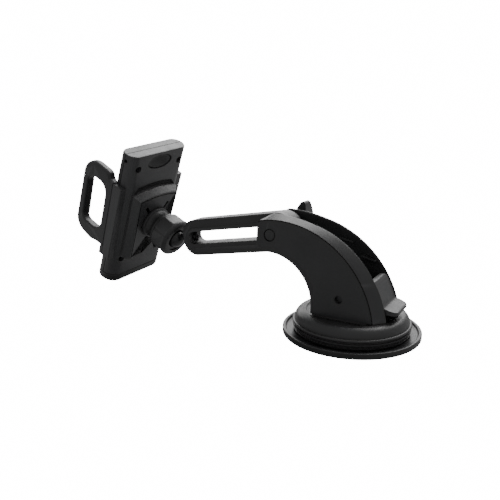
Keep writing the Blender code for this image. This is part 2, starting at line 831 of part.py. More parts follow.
def full_section(v, shrink=0.0):
    """The cradle's whole section at a height, as one loop."""
    back = half_section(v, 1, shrink, 0.0)
    front = half_section(v, -1, shrink, 0.0)
    return back[:-1] + front[:0:-1]


def half_shell(side, name, frame):
    levels = [(FOOT_TOP, 0.0), (CRADLE_TOP - 0.9, 0.0), (CRADLE_TOP - 0.3, 0.3), (CRADLE_TOP, 0.9)]
    rings = [half_section(v, side, shrink) for v, shrink in levels]
    return finish(ring_mesh(rings), name, "black_plastic", frame)


def arch(half, top, bottom, sagitta, steps=12):
    """An outline in (w, v): straight sides and foot, with an arched top."""
    found = [(-half, bottom), (half, bottom)]
    for k in range(steps + 1):
        w = half - 2 * half * k / steps
        found.append((w, top - sagitta * (w / half) ** 2))
    return found


def cavity():
    """The hollow inside the shells, as a box that follows their taper."""
    wall, width = 2.0, 21.0
    rings = []
    for v in (-24.0, 30.0):
        front, back = BACK_PLANE - thickness(v) + wall, BACK_PLANE - wall
        rings.append([(front, -width, v), (back, -width, v), (back, width, v), (front, width, v)])
    return ring_mesh(rings)


def cut_mechanism_room(shell, name):
    """Cuts the inner hollow, the racks' slots and the foot's rail slots."""
    cut(shell, cavity(), f"{name}_cavity")
    for side, bottom in ((-1, 1.6), (1, -9.8)):
        low, high = sorted((side * 18, side * 32))
        slot = block((BAR_FRONT - 0.4, low, bottom), (BAR_BACK + 0.4, high, bottom + 8.2))
        cut(shell, slot, f"{name}_bar_slot_{side}")
    for side in (-1, 1):
        middle = side * RAIL_REACH
        slot = block((-38.4, middle - 2.4, FOOT_TOP - 3.0), (-34.0, middle + 2.4, -23.0))
        cut(shell, slot, f"{name}_rail_slot_{side}")


def boss():
    """Raised back of the cradle: a low arched step, a ramp and the ball socket's panel."""
    step, top = 1.6, BOSS_HEIGHT
    outer = arch(BOSS_HALF, BOSS_TOP, -27.5, 2.6)
    inner = arch(16.3, 21.9, -26.5, 1.9)
    rings = [
        [(BACK_PLANE - 1.0, w, v) for w, v in outer],
        [(BACK_PLANE + step, w, v) for w, v in outer],
        [(BACK_PLANE + top - 0.5, w, v) for w, v in inner],
        [(BACK_PLANE + top, w * 0.985, v - 0.2) for w, v in inner],
    ]
    return ring_mesh([ring[::-1] for ring in rings])


def groove():
    """A shallow arched groove whose lower edge follows the boss's top."""
    lower = [(w, v - 0.05) for w, v in arch(BOSS_HALF, BOSS_TOP, 0, 2.6)[2:]]
    upper = [(w, v + 4.2) for w, v in reversed(lower)]
    levels = (BACK_PLANE - 1.0, BACK_PLANE + 3.0)
    return ring_mesh([[(level, w, v) for w, v in lower + upper] for level in levels])


def oval(half_w, half_v, levels, steps=28):
    """A stack of ovals round the button's centre; levels are (n, scale)."""
    rings = []
    for n, scale in levels:
        ring = []
        for k in range(steps):
            angle = 2 * math.pi * k / steps
            w, v = half_w * scale * math.cos(angle), half_v * scale * math.sin(angle)
            ring.append((n, w, BUTTON_V + v))
        rings.append(ring)
    return ring_mesh(rings)


def cradle_back(frame):
    shell = half_shell(1, "cradle_back", frame)
    cut(shell, groove(), "upper_groove")
    cut(shell, boss(), "back_boss", "UNION")
    cut_mechanism_room(shell, "cradle_back")
    for k, slot in enumerate(CLAW_SLOTS):
        half = CLAW_LENGTH / 2
        low, high = (BACK_PLANE - 3, -CLAW_WIDTH / 2, -half), (BACK_PLANE + 8, CLAW_WIDTH / 2, half)
        bm = block(low, high)
        cut(shell, turned_by(bm, claw_place(slot)), f"claw_slot_{k}")
    window = oval(*BUTTON_HALF, [(BACK_PLANE - 12, 1.0), (BACK_PLANE + 2, 1.0)])
    cut(shell, window, "button_window")
    for k, (w, v) in enumerate(BACK_SCREWS):
        cut(shell, moved(rod(2.3, -4.2, 3.0, 24, "X"), BACK_PLANE, w, v), f"screw_well_{k}")
        cut(shell, moved(rod(1.3, -16.0, 1.0, 16, "X"), BACK_PLANE, w, v), f"screw_bore_{k}")
    for side in (-1, 1):
        hole = moved(rod(1.3, -2.0, 2.0, 16, "Y"), -33.0, side * CRADLE_HALF_WIDTH, 46.6)
        cut(shell, hole, f"side_hole_{side}")


def cradle_front(frame):
    shell = half_shell(-1, "cradle_front", frame)
    cut_mechanism_room(shell, "cradle_front")
    for k, (w, v) in enumerate(BACK_SCREWS):
        middle = BACK_PLANE - thickness(v) / 2
        cut(shell, moved(rod(1.15, -4.4, 1.0, 16, "X"), middle, w, v), f"front_bore_{k}")
    pocket = oval(7.0, 3.6, [(BACK_PLANE - 10.6, 1.0), (BACK_PLANE + 2, 1.0)])
    cut(shell, pocket, "button_pocket")


def back_screws(frame):
    for k, (w, v) in enumerate(BACK_SCREWS):
        middle = -thickness(v) / 2
        profile = [
            (0, middle - 4.0),
            (1.0, middle - 4.0),
            (1.0, -3.9),
            (2.0, -3.9),
            (2.0, -3.3),
            (0, -3.1),
        ]
        bm = moved(turned(profile, 20, "X"), BACK_PLANE, w, v)
        finish(bm, f"back_screw_{k + 1}", "dark_steel", frame)


def phone_pad(frame):
    """Soft facing on the cradle's front."""
    outline = []
    for cx, cz, start in ((13, 40, 0), (-13, 40, 90), (-13, -30, 180), (13, -30, 270)):
        outline += arc(cx, cz, 3.5, start, start + 90, 5)
    lean = math.atan((BOTTOM_THICKNESS - TOP_THICKNESS) / (CRADLE_TOP - CRADLE_BOTTOM))
    bm = prism(outline, -1.2, -GAP, "X")
    turned_by(bm, Matrix.Rotation(lean, 4, "Y"))
    moved(bm, BACK_PLANE - thickness(0.0))
    finish(bm, "phone_pad", "rubber", frame)


def foot(frame):
    """The bottom band with its phone ledge, guided by two rails inside the shells."""
    levels = [(CRADLE_BOTTOM, 1.2), (CRADLE_BOTTOM + 0.7, 0.3), (FOOT_TOP - GAP, 0.0)]
    rings = [full_section(v, shrink) for v, shrink in levels]
    obj = finish(ring_mesh(rings), "foot", "black_plastic", frame)
    front = BACK_PLANE - BOTTOM_THICKNESS
    ledge = [
        (front + 4, CRADLE_BOTTOM + 0.4),
        (front - 11.0, CRADLE_BOTTOM + 0.9),
        (front - 12.2, CRADLE_BOTTOM + 2.0),
        (front - 12.2, CRADLE_BOTTOM + 7.6),
        (front - 10.6, CRADLE_BOTTOM + 7.6),
        (front - 10.2, CRADLE_BOTTOM + 3.6),
        (front + 4, CRADLE_BOTTOM + 3.4),
    ]
    cut(obj, prism(ledge, -8.5, 8.5), "foot_ledge", "UNION")
    for side in (-1, 1):
        middle = side * RAIL_REACH
        rail = block((-38.0, middle - 2.0, FOOT_TOP - 3.0), (-34.4, middle + 2.0, FOOT_TOP + 11.5))
        cut(obj, rail, f"foot_rail_{side}", "UNION")


# ---------------------------------------------------------------- jaws and their drive


def loop_outline():
    """Outline of the jaw's D-shaped loop in (n, v)."""
    outer = [(-37.0, 29.0), (-40.2, 29.6), (-41.6, 32.3), (-44.6, 34.2)]
    outer += arc(-54.0, 22.4, 12.1, 86, 176, 9)
    outer += arc(-57.0, -12.6, 10.6, 185, 262, 7)
    outer += [(-50.5, -24.4), (-44.0, -22.8), (-37.0, -22.4)]
    return outer


def loop_hole():
    right = arc(-50.2, 16.5, 7.2, 0, 90, 5)
    left = arc(-54.2, 16.7, 7.0, 90, 178, 5)
    low_left = arc(-56.0, -7.5, 5.6, 186, 268, 5)
    low_right = arc(-51.0, -5.2, 8.0, 278, 352, 5)
    return right + left + low_left + low_right


def rack(side, name, frame):
    """Toothed bar that carries a jaw through the shells' slot to the pinion."""
    rail = 1.9 if side < 0 else -9.5
    low, high = sorted((side * 24.6, -side * 17.5))
    bar = finish(block((BAR_FRONT, low, rail), (BAR_BACK, high, rail + 7.6)), name, "nylon", frame)
    cut(bar, rack_gap(side), f"{name}_teeth")


def jaw(side, name, frame):
    """Side plate on the cradle's narrow side with a D-shaped loop in front of it."""
    inner, outer = 22.6, 28.4
    low, high = sorted((side * inner, side * outer))
    obj = finish(prism(loop_outline(), low, high), name, "black_plastic", frame)
    cut(obj, prism(loop_hole(), -40, 40), f"{name}_hole")
    # The loop's root is a thin web outside of the shell's rounded side.
    low, high = sorted((side * 20.5, side * 26.9))
    plate = [(-41.5, -29.5), (JAW_BACK, -29.5), (JAW_BACK + 0.8, 29.0), (-38.5, 30.5)]
    cut(obj, prism(plate, low, high), f"{name}_plate", "UNION")
    room = [full_section(v, -GAP) for v in (-60.0, 60.0)]
    cut(obj, ring_mesh(room), f"{name}_room")


def rack_gap(side):
    """What the bar's inner edge loses between its teeth, wherever the pinion passes it."""
    pitch = 2 * math.pi * PINION_RADIUS / PINION_TEETH
    edge = -side * PINION_RADIUS
    tip, root = 1.0, 1.5
    outline = []
    for k in range(-3, 9):
        centre = -side * k * pitch
        lean = -side * pitch
        outline += [
            (centre - lean * 0.36, edge + side * tip),
            (centre - lean * 0.24, edge - side * root),
            (centre + lean * 0.24, edge - side * root),
            (centre + lean * 0.36, edge + side * tip),
        ]
    back_edge = edge + side * 8.0
    outline += [(outline[-1][0], back_edge), (outline[0][0], back_edge)]
    return prism(outline, BAR_FRONT - 1, BAR_BACK + 1, "X")


def pinion(frame):
    tip, root = 0.8, 1.6
    outline = []
    for k in range(PINION_TEETH):
        middle = 2 * math.pi * k / PINION_TEETH
        for radius, share in ((-root, -0.30), (tip, -0.11), (tip, 0.11), (-root, 0.30)):
            angle = middle + share * 2 * math.pi / PINION_TEETH
            reach = PINION_RADIUS + radius
            outline.append((reach * math.sin(angle), reach * math.cos(angle)))
    bm = prism(outline, BAR_FRONT + 0.2, BAR_BACK - 0.2, "X")
    gear = finish(bm, "jaw_pinion", "nylon", frame)
    cut(gear, rod(2.2, BAR_BACK - 1.0, BAR_BACK + 2.4, 24, "X"), "pinion_hub", "UNION")
    cut(gear, rod(1.26, -60, -20, 24, "X"), "pinion_bore")


def pinion_pin(frame):
    front = BACK_PLANE - thickness(0.0) + 2.2
    finish(rod(1.2, front, BACK_PLANE - 2.2, 24, "X"), "pinion_pin", "steel", frame)


def jaw_spring(frame):
    finish(coil(3.3, 0.32, BAR_BACK + 0.2, BAR_BACK + 2.4, 2.5, "X"), "jaw_spring", "steel", frame)


def jaw_grips(frame):
    for side, name in ((-1, "near_grip"), (1, "far_grip")):
        low, high = sorted((side * 21.2, side * 22.3))
        grip = prism([(-66.0, -12.0), (-62.6, -12.0), (-62.6, 18.0), (-66.0, 18.0)], low, high)
        finish(grip, name, "rubber", frame)


def release_button(frame):
    """Dished oval button in the back's window, with a stem for its spring."""
    half_w, half_v = BUTTON_HALF[0] - 0.35, BUTTON_HALF[1] - 0.35
    levels = [(-5.2, 1.0), (-2.6, 1.0), (-1.9, 0.94), (-3.0, 0.7), (-3.7, 0.35)]
    bm = oval(half_w, half_v, [(BACK_PLANE + n, scale) for n, scale in levels])
    finish(bm, "release_button", "black_plastic", frame)


def button_spring(frame):
    bm = coil(2.2, 0.3, BACK_PLANE - 9.6, BACK_PLANE - 5.5, 3.0, "X")
    finish(moved(bm, 0, 0, BUTTON_V), "button_spring", "steel", frame)


def build():
    clear_scene()
    gel_pad()
    suction_housing()
    housing_screws()
    suction_stem()
    stem_spring()
    curved_arm()
    side_cover(-1, "side_cover_near")
    side_cover(1, "side_cover_far")
    lever_pin()
    lock_lever()
    pivot_bolt()
    knob_washer()
    wing_knob()
    knob_insert()
    guide_bush()
    pivot_washers()
    slotted_link()
    link_end_screw()
    ball_stud()
    frame = cradle_frame()
    grip_ring(frame)
    friction_pad(frame)
    socket_cup(frame)
    collar_nut(frame)
    cradle_back(frame)
    cradle_front(frame)
    foot(frame)
    back_screws(frame)
    phone_pad(frame)
    jaw(-1, "near_jaw", frame)
    jaw(1, "far_jaw", frame)
    rack(-1, "near_rack", frame)
    rack(1, "far_rack", frame)
    jaw_grips(frame)
    pinion(frame)
    pinion_pin(frame)
    jaw_spring(frame)
    release_button(frame)
    button_spring(frame)


build()
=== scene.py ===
"""Looks for the car phone mount: fine shells, moulded-plastic finishes, studio light and camera.

The shape functions work in millimetres, and make_piece() scales each mesh to metres. World frame
as in the CAD: origin under the suction pad, +Z up, the arm towards -X. Cradle pieces are made in
the cradle's own frame (x out of its back, y across, z up, origin at the ball's centre), which is
read from the ball's three hinges. Link pieces have their x along the link, from the axle.
"""

import json
import math

import bmesh
import bpy
from mathutils import Matrix, Vector


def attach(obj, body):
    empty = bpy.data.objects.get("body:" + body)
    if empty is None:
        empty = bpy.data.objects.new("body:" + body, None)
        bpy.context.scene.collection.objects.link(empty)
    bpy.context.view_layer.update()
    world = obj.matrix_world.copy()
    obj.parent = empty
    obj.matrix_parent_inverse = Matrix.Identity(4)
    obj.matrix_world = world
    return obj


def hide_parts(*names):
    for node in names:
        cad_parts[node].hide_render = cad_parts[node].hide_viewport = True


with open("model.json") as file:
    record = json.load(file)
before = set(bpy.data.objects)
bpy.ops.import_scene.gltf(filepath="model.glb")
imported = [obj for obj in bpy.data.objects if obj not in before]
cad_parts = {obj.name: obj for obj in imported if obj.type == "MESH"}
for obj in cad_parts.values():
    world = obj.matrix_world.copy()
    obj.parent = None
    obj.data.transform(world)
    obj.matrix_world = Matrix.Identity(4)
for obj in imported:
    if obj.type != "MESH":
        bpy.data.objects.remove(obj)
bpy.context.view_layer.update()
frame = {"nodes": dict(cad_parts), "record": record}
nodes = frame["nodes"]
joints = {joint["name"]: joint for joint in frame["record"]["behaviour"]["joints"]}

MM = 0.001
GAP = 0.3  # clearance between neighbouring pieces

# Suction base
PAD_RADIUS = 40.0
PAD_LIP_TOP = 3.6
PAD_FLOOR = 1.9
HOUSING_RADIUS = 34.0
RIM_RADIUS = 27.0
RIM_TOP = 14.0
DECK_TOP = 12.6
DECK_UNDERSIDE = 9.6
FOOT_SCREWS = [(x, y) for x in (-13.0, 10.5) for y in (-13.6, 13.6)]

# Curved arm: arcs in the XZ plane as (centre x, centre z, radius)
INNER_ARC = (-46.7, 17.1, 28.7)
FACE_ARC = (-42.1, 3.1, 61.6)
CREST_ARC = (-36.4, 4.3, 61.5)
TIP_RISE = 2.9  # how far the crest rises above its arc towards the tip
ARM_FOOT = DECK_TOP + GAP
FLOOR_THICKNESS = 3.5
CHANNEL_HALF = 9.4
COVER_THICKNESS = 1.5
LEVER_HALF = 11.5
LEVER_TOP = 35.6
LEVER_INSET = 0.9

AXLE = Vector(joints["arm_pivot"]["pos_m"]) / MM
LEVER_PIN = Vector(joints["lever_lift"]["pos_m"]) / MM
BALL = Vector(joints["ball_tilt"]["pos_m"]) / MM
BOLT_RADIUS = 2.5

# Link
LINK_LENGTH = (BALL - AXLE).length
LINK_END = LINK_LENGTH - 11.7
SLOT_END = LINK_END - 5.1
LINK_HALF_HEIGHT = 11.7
LINK_HALF_WIDTH = 7.0
LINK_CORNER = 10.0
SLOT_HALF = 4.0
BALL_RADIUS = 6.5
SOCKET_RADIUS = 8.9
COLLAR_RADIUS = 13.0

# Knob
KNOB_START = 21.0
KNOB_END = 35.0
KNOB_TURN = math.radians(14.0)

# Cradle
BACK_PLANE = -27.3  # x of the cradle's back
HALF_WIDTH = 24.9
CRADLE_TOP = 51.2
CRADLE_BOTTOM = -51.3
TOP_THICKNESS = 13.0
BOTTOM_THICKNESS = 18.1
FOOT_TOP = -45.0
BOSS_HEIGHT = 6.0
BOSS_HALF = 19.6
BOSS_TOP = 25.0
BUTTON_V = 44.3
BUTTON_HALF = (10.4, 5.1)
BACK_SCREWS = [(-18.0, 41.8), (18.0, 41.8), (-18.0, -30.3), (18.0, -30.3)]
# The panel's four slots as (across, up, lean in degrees)
CLAW_SLOTS = [(7.7, 10.7, -33.0), (-7.7, 10.7, 33.0), (5.1, -21.5, 25.0), (-5.1, -21.5, -25.0)]
# The toothed bars' room, front to back
BAR_FRONT = -36.4
BAR_BACK = -33.4

# Studio
WHITE_STRENGTH = 16.0  # seen by the camera alone
SURROUND_STRENGTH = 0.46
LIT_POINT = (-0.07, 0.0, 0.05)
EYE = (0.1063, -0.3001, 0.1267)
EYE_PITCH = math.radians(76.1)
EYE_HEADING = math.radians(30.2)


def axes_matrix(x_axis, y_axis, z_axis, origin):
    made = Matrix((x_axis, y_axis, z_axis)).transposed().to_4x4()
    made.translation = origin
    return made


CRADLE = axes_matrix(
    Vector(joints["ball_spin"]["axis"]),
    Vector(joints["ball_tilt"]["axis"]),
    Vector(joints["ball_pan"]["axis"]),
    BALL,
)
ALONG = (BALL - AXLE).normalized()
LINK = axes_matrix(ALONG, Vector((0, -1, 0)), ALONG.cross(Vector((0, -1, 0))), AXLE)


# ---------------------------------------------------------------- materials


def new_material(name):
    made = bpy.data.materials.new(name)
    made.use_nodes = True
    tree = made.node_tree
    return made, tree, tree.nodes["Principled BSDF"]


def noise(tree, scale, detail=4.0, roughness=0.55):
    """Fractal noise in object space."""
    place = tree.nodes.new("ShaderNodeTexCoord").outputs["Object"]
    texture = tree.nodes.new("ShaderNodeTexNoise")
    texture.inputs["Scale"].default_value = scale
    texture.inputs["Detail"].default_value = detail
    texture.inputs["Roughness"].default_value = roughness
    tree.links.new(place, texture.inputs["Vector"])
    return texture.outputs["Fac"]


def ramp(tree, source, low, high, start=0.3, end=0.7):
    made = tree.nodes.new("ShaderNodeValToRGB")
    made.color_ramp.elements[0].position = start
    made.color_ramp.elements[1].position = end
    made.color_ramp.elements[0].color = (*low, 1.0)
    made.color_ramp.elements[1].color = (*high, 1.0)
    tree.links.new(source, made.inputs["Fac"])
    return made.outputs["Color"]


def mapped(tree, source, low, high, start=0.3, end=0.7):
    made = tree.nodes.new("ShaderNodeMapRange")
    made.inputs["From Min"].default_value = start
    made.inputs["From Max"].default_value = end
    made.inputs["To Min"].default_value = low
    made.inputs["To Max"].default_value = high
    tree.links.new(source, made.inputs["Value"])
    return made.outputs["Result"]


def painted_edge_highlight(tree, colour, edge):
    """Painted highlight: lightens the colour of sharp convex edges, where light would catch them."""
    geometry = tree.nodes.new("ShaderNodeNewGeometry")
    edges = mapped(tree, geometry.outputs["Pointiness"], 0.0, 1.0, 0.53, 0.64)
    mix = tree.nodes.new("ShaderNodeMix")
    mix.data_type = "RGBA"
    mix.inputs["B"].default_value = (*edge, 1.0)
    tree.links.new(edges, mix.inputs["Factor"])
    tree.links.new(colour, mix.inputs["A"])
    return mix.outputs["Result"]


def bumped(tree, shader, layers):
    """Chains bumps; each layer is a height, a strength and a distance in metres."""
    last = None
    for height, strength, distance in layers:
        bump = tree.nodes.new("ShaderNodeBump")
        bump.inputs["Strength"].default_value = strength
        bump.inputs["Distance"].default_value = distance
        tree.links.new(height, bump.inputs["Height"])
        if last:
            tree.links.new(last, bump.inputs["Normal"])
        last = bump.outputs["Normal"]
    tree.links.new(last, shader.inputs["Normal"])


def plastic(name, base, roughness, grain, spread=0.06, edge=None, gloss=0.5):
    """Spark-eroded moulded plastic: fine grain, faint flow marks and a painted highlight on sharp edges.
    """
    made, tree, shader = new_material(name)
    light = tuple(min(1.0, c * 1.3 + 0.003) for c in base)
    colour = ramp(tree, noise(tree, 45.0), base, light)
    # painted highlight: sharp convex edges are given a lighter colour
    colour = painted_edge_highlight(tree, colour, edge or tuple(c * 2.0 + 0.008 for c in base))
    tree.links.new(colour, shader.inputs["Base Color"])
    shader.inputs["Specular IOR Level"].default_value = gloss
    rough = mapped(tree, noise(tree, 90.0, 6.0), roughness - spread, roughness + spread)
    tree.links.new(rough, shader.inputs["Roughness"])
    bumped(
        tree,
        shader,
        [(noise(tree, 2600.0, 2.0), grain, 0.00008), (noise(tree, 120.0), 0.1, 0.0003)],
    )
    return made


def metal(name, base, roughness):
    made, tree, shader = new_material(name)
    shader.inputs["Metallic"].default_value = 1.0
    light = tuple(min(1.0, c * 1.25 + 0.02) for c in base)
    # painted highlight: sharp convex edges are given a lighter colour
    colour = painted_edge_highlight(tree, ramp(tree, noise(tree, 300.0), base, light), light)
    tree.links.new(colour, shader.inputs["Base Color"])
    brushed = noise(tree, 900.0, 5.0)
    tree.links.new(mapped(tree, brushed, roughness - 0.08, roughness + 0.1), shader.inputs["Roughness"])
    bumped(tree, shader, [(brushed, 0.15, 0.00005)])
    return made


FINISHES = {
    "black_plastic": plastic("moulded_black", (0.02, 0.02, 0.021), 0.4, 0.35),
    "black_gloss": plastic("smooth_black", (0.012, 0.012, 0.013), 0.26, 0.1, 0.04),
    "gel": plastic("gel_black", (0.017, 0.017, 0.018), 0.33, 0.08, 0.05, gloss=0.35),
    "rubber": plastic("rubber_black", (0.013, 0.013, 0.013), 0.62, 0.6, 0.08, gloss=0.35),
    "steel": metal("bright_steel", (0.5, 0.5, 0.51), 0.32),
    "dark_steel": metal("blackened_steel", (0.035, 0.035, 0.037), 0.42),
    "brass": metal("turned_brass", (0.7, 0.5, 0.22), 0.34),
    # the last colour is the nylon's painted edge highlight
    "nylon": plastic("natural_nylon", (0.62, 0.6, 0.54), 0.45, 0.2, 0.05, (0.75, 0.73, 0.68)),
}


# ---------------------------------------------------------------- mesh helpers


def make_piece(bm, name, matrix=None):
    """An object from a bmesh in millimetres, placed in the world in metres."""
    bmesh.ops.remove_doubles(bm, verts=bm.verts, dist=1e-4)
    bmesh.ops.recalc_face_normals(bm, faces=bm.faces)
    if matrix:
        bmesh.ops.transform(bm, matrix=matrix, verts=bm.verts)
    bmesh.ops.scale(bm, verts=bm.verts, vec=(MM, MM, MM))
    mesh = bpy.data.meshes.new(name)
    bm.to_mesh(mesh)
    bm.free()
    obj = bpy.data.objects.new(name, mesh)
    bpy.context.scene.collection.objects.link(obj)
    return obj


def baked(obj):
    """Replaces an object's mesh with what its modifiers make of it."""
    depsgraph = bpy.context.evaluated_depsgraph_get()
    mesh = bpy.data.meshes.new_from_object(obj.evaluated_get(depsgraph))
    obj.modifiers.clear()
    obj.data = mesh


def carve(obj, shapes, operation="DIFFERENCE", matrix=None):
    """Cuts shapes out of a piece, or joins them to it, one after another."""
    for bm in shapes:
        tool = make_piece(bm, "tool", matrix)
        modifier = obj.modifiers.new("carve", "BOOLEAN")
        modifier.operation = operation
        modifier.solver = "EXACT"
        modifier.object = tool
        baked(obj)
        bpy.data.objects.remove(tool)


def dress(obj, body, finish, replaced=(), bevel=0.35, angle=32.0, segments=3):
    """Softens a piece's edges, gives it its finish and lets it ride on its body."""
    obj.data.materials.clear()
    obj.data.materials.append(FINISHES[finish])
    for polygon in obj.data.polygons:
        polygon.material_index = 0
    obj.data.shade_smooth()
    obj.data.set_sharp_from_angle(angle=math.radians(angle + 4))
    if bevel:
        soften = obj.modifiers.new("soft_edges", "BEVEL")
        soften.width = bevel * MM
        soften.segments = segments
        soften.limit_method = "ANGLE"
        soften.angle_limit = math.radians(angle)
        soften.miter_outer = "MITER_ARC"
    level = obj.modifiers.new("even_shading", "WEIGHTED_NORMAL")
    level.keep_sharp = True
    level.weight = 90
    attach(obj, body)
    if replaced:
        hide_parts(*replaced)
    return obj


def ring_mesh(rings):
    """Skins a list of equal loops of points into one closed body."""
    bm = bmesh.new()
    loops = [[bm.verts.new(point) for point in ring] for ring in rings]
    bm.faces.new(loops[0])
    bm.faces.new(list(reversed(loops[-1])))
    for first, second in zip(loops, loops[1:]):
        for k in range(len(first)):
            after = (k + 1) % len(first)
            bm.faces.new((first[after], first[k], second[k], second[after]))
    return bm


def prism(outline, low, high, axis="Y"):
    """Extrudes an outline along Y (outline in x, z), X (y, z) or Z (x, y)."""
    place = {
        "Y": lambda a, b, d: (a, d, b),
        "X": lambda a, b, d: (d, a, b),
        "Z": lambda a, b, d: (a, b, d),
    }[axis]
    return ring_mesh([[place(a, b, d) for a, b in outline] for d in (low, high)])


def arc(cx, cz, radius, start, end, steps):
    found = []
    for k in range(steps + 1):
        angle = math.radians(start + (end - start) * k / steps)
        found.append((cx + radius * math.cos(angle), cz + radius * math.sin(angle)))
    return found


def inset(outline, amount):
    """Moves an outline's points inwards by an amount, or outwards if it is negative."""
    count = len(outline)
    area = 0.0
    for k in range(count):
        (a, b), (c, d) = outline[k], outline[(k + 1) % count]
        area += a * d - b * c
    turn = 1 if area > 0 else -1
    found = []
    for k in range(count):
        before, here = Vector(outline[k - 1]), Vector(outline[k])
        after = Vector(outline[(k + 1) % count])
        into = Vector((0, 0))
        for edge in ((here - before).normalized(), (after - here).normalized()):
            into += Vector((-edge.y, edge.x)) * turn
        into.normalize()
        found.append(tuple(here + into * amount))
    return found


def soft_prism(outline, low, high, radius, hole=False, steps=6):
    """Extrudes along Y with rounded rims; a hole's cutter flares at both ends instead."""
    sign = -1 if hole else 1
    half = [(0.0, radius)]
    for k in range(1, steps + 1):
        angle = math.pi / 2 * k / steps
        half.append((radius * (1 - math.cos(angle)), radius * (1 - math.sin(angle))))
    levels = [(low + y, shrink) for y, shrink in half]
    levels += [(high - y, shrink) for y, shrink in reversed(half)]
    if hole:
        levels = [(low - 2, radius)] + levels + [(high + 2, radius)]
    rings = []
    for y, shrink in levels:
        rings.append([(a, y, b) for a, b in inset(outline, sign * shrink)])
    return ring_mesh(rings)


TURN = {
    "Z": Matrix(),
    "X": Matrix.Rotation(math.pi / 2, 4, "Y"),
    "Y": Matrix.Rotation(-math.pi / 2, 4, "X"),
}


def turned(profile, steps, axis="Z"):
    """Spins a profile of (radius, height) points round an axis; radius 0 closes on the axis."""
    bm = bmesh.new()
    columns = []
    for k in range(steps):
        angle = 2 * math.pi * k / steps
        column = []
        for index, (radius, height) in enumerate(profile):
            if radius == 0 and k:
                column.append(columns[0][index])
            else:
                point = Vector((radius * math.cos(angle), radius * math.sin(angle), height))
                column.append(bm.verts.new(TURN[axis] @ point))
        columns.append(column)
    for k in range(steps):
        here, there = columns[k], columns[(k + 1) % steps]
        for j in range(len(profile)):
            after = (j + 1) % len(profile)
            corners = []
            for vert in (here[j], here[after], there[after], there[j]):
                if vert not in corners:
                    corners.append(vert)
            if len(corners) > 2:
                bm.faces.new(corners)
    return bm


def moved(bm, x=0.0, y=0.0, z=0.0):
    bmesh.ops.translate(bm, verts=bm.verts, vec=(x, y, z))
    return bm


def turned_by(bm, matrix):
    bmesh.ops.transform(bm, matrix=matrix, verts=bm.verts)
    return bm


def block(low, high):
    bm = bmesh.new()
    bmesh.ops.create_cube(bm, size=1.0)
    for vert in bm.verts:
        for k in range(3):
            vert.co[k] = low[k] if vert.co[k] < 0 else high[k]
    return bm


def rod(radius, low, high, steps=48, axis="Z"):
    return turned([(0, low), (radius, low), (radius, high), (0, high)], steps, axis)


def tube(inner, outer, low, high, steps=64, axis="Z"):
    return turned([(inner, low), (outer, low), (outer, high), (inner, high)], steps, axis)


def cross_recess(radius, width, low, high, axis):
    """The two bars of a cross-head screw's recess."""
    half = width / 2
    bars = []
    for a, b in ((radius, half), (half, radius)):
        bars.append(turned_by(block((-a, -b, low), (a, b, high)), TURN[axis]))
    return bars


# ---------------------------------------------------------------- suction base


def suction_pad():
    """The gel disc: raised lip, flat floor and fine grooves under it."""
    lip = 1.6
    outer = PAD_RADIUS
    under = [(0, 0.0)]
    for k in range(1, 12):
        radius = k * 3.2
        under += [(radius - 0.5, 0.0), (radius, 0.12), (radius + 0.5, 0.0)]
    edge = arc(outer - 0.9, 0.9, 0.9, -90, 0, 6)
    top = arc(outer - 0.6, PAD_LIP_TOP - 0.6, 0.6, 0, 90, 5)
    inside = [
        (outer - lip, PAD_LIP_TOP),
        (outer - lip - 0.35, PAD_LIP_TOP - 0.25),
        (outer - lip - 0.8, PAD_FLOOR + 0.35),
        (outer - lip - 1.5, PAD_FLOOR),
        (12.0, PAD_FLOOR - 0.1),
        (9.0, PAD_FLOOR + 0.5),
        (9.0, 3.2),
        (0, 3.2),
    ]
    pad = make_piece(turned(under + edge + top + inside, 160), "pad")
    dress(pad, "base", "gel", ["gel_pad"], bevel=0.0)


def housing():
    """The dome over the pad, with two dark channels, a bead and a rolled rim round the deck."""
    under = PAD_FLOOR + 0.5
    radius = HOUSING_RADIUS
    skirt = [
        (radius - 1.6, under),
        (radius - 0.5, under + 0.5),
        (radius - 0.4, 3.6),
        (radius - 1.0, 3.9),
        (radius - 1.0, 4.5),
        (radius - 0.2, 4.8),
        (radius, 5.2),
        (radius - 0.1, 5.8),
        (radius - 0.9, 6.1),
        (radius - 0.9, 6.7),
    ]
    bead = arc(radius - 0.6, 7.6, 0.9, -75, 75, 8)
    start, rise = 8.5, RIM_TOP - 8.5
    swell = radius - 1.0 - (RIM_RADIUS + 0.5)
    dome = []
    for k in range(0, 19):
        angle = math.pi / 2 * k / 19
        dome.append(
            (RIM_RADIUS + 0.5 + swell * math.cos(angle), start + rise * math.sin(angle) ** 0.92)
        )
    rim = arc(RIM_RADIUS - 0.2, RIM_TOP - 0.7, 0.7, 80, 170, 6)
    bore = 4.4
    inside = [
        (RIM_RADIUS - 2.2, DECK_TOP),
        (bore, DECK_TOP),
        (bore, DECK_UNDERSIDE),
        (RIM_RADIUS - 2.0, DECK_UNDERSIDE),
        (radius - 3.2, 6.5),
        (radius - 3.2, under),
    ]
    body = make_piece(turned(skirt + bead + dome + rim + inside, 144), "housing")
    carve(body, [moved(rod(1.6, 6.0, 14.0, 24), x, y) for x, y in FOOT_SCREWS])
    dress(body, "base", "black_plastic", ["suction_housing"], bevel=0.12, angle=50, segments=2)


# ---------------------------------------------------------------- curved arm


def half_width(z):
    return 16.3 + (58.0 - z) * 2.7 / 41.0


def crest_half(z):
    return 10.1 + (64.0 - z) * 2.2 / 44.0


def on_arc(spec, angle):
    cx, cz, radius = spec
    return Vector((cx + radius * math.cos(angle), 0, cz + radius * math.sin(angle)))


def at_height(spec, z):
    cx, cz, radius = spec
    return Vector((cx + math.sqrt(radius**2 - (z - cz) ** 2), 0, z))


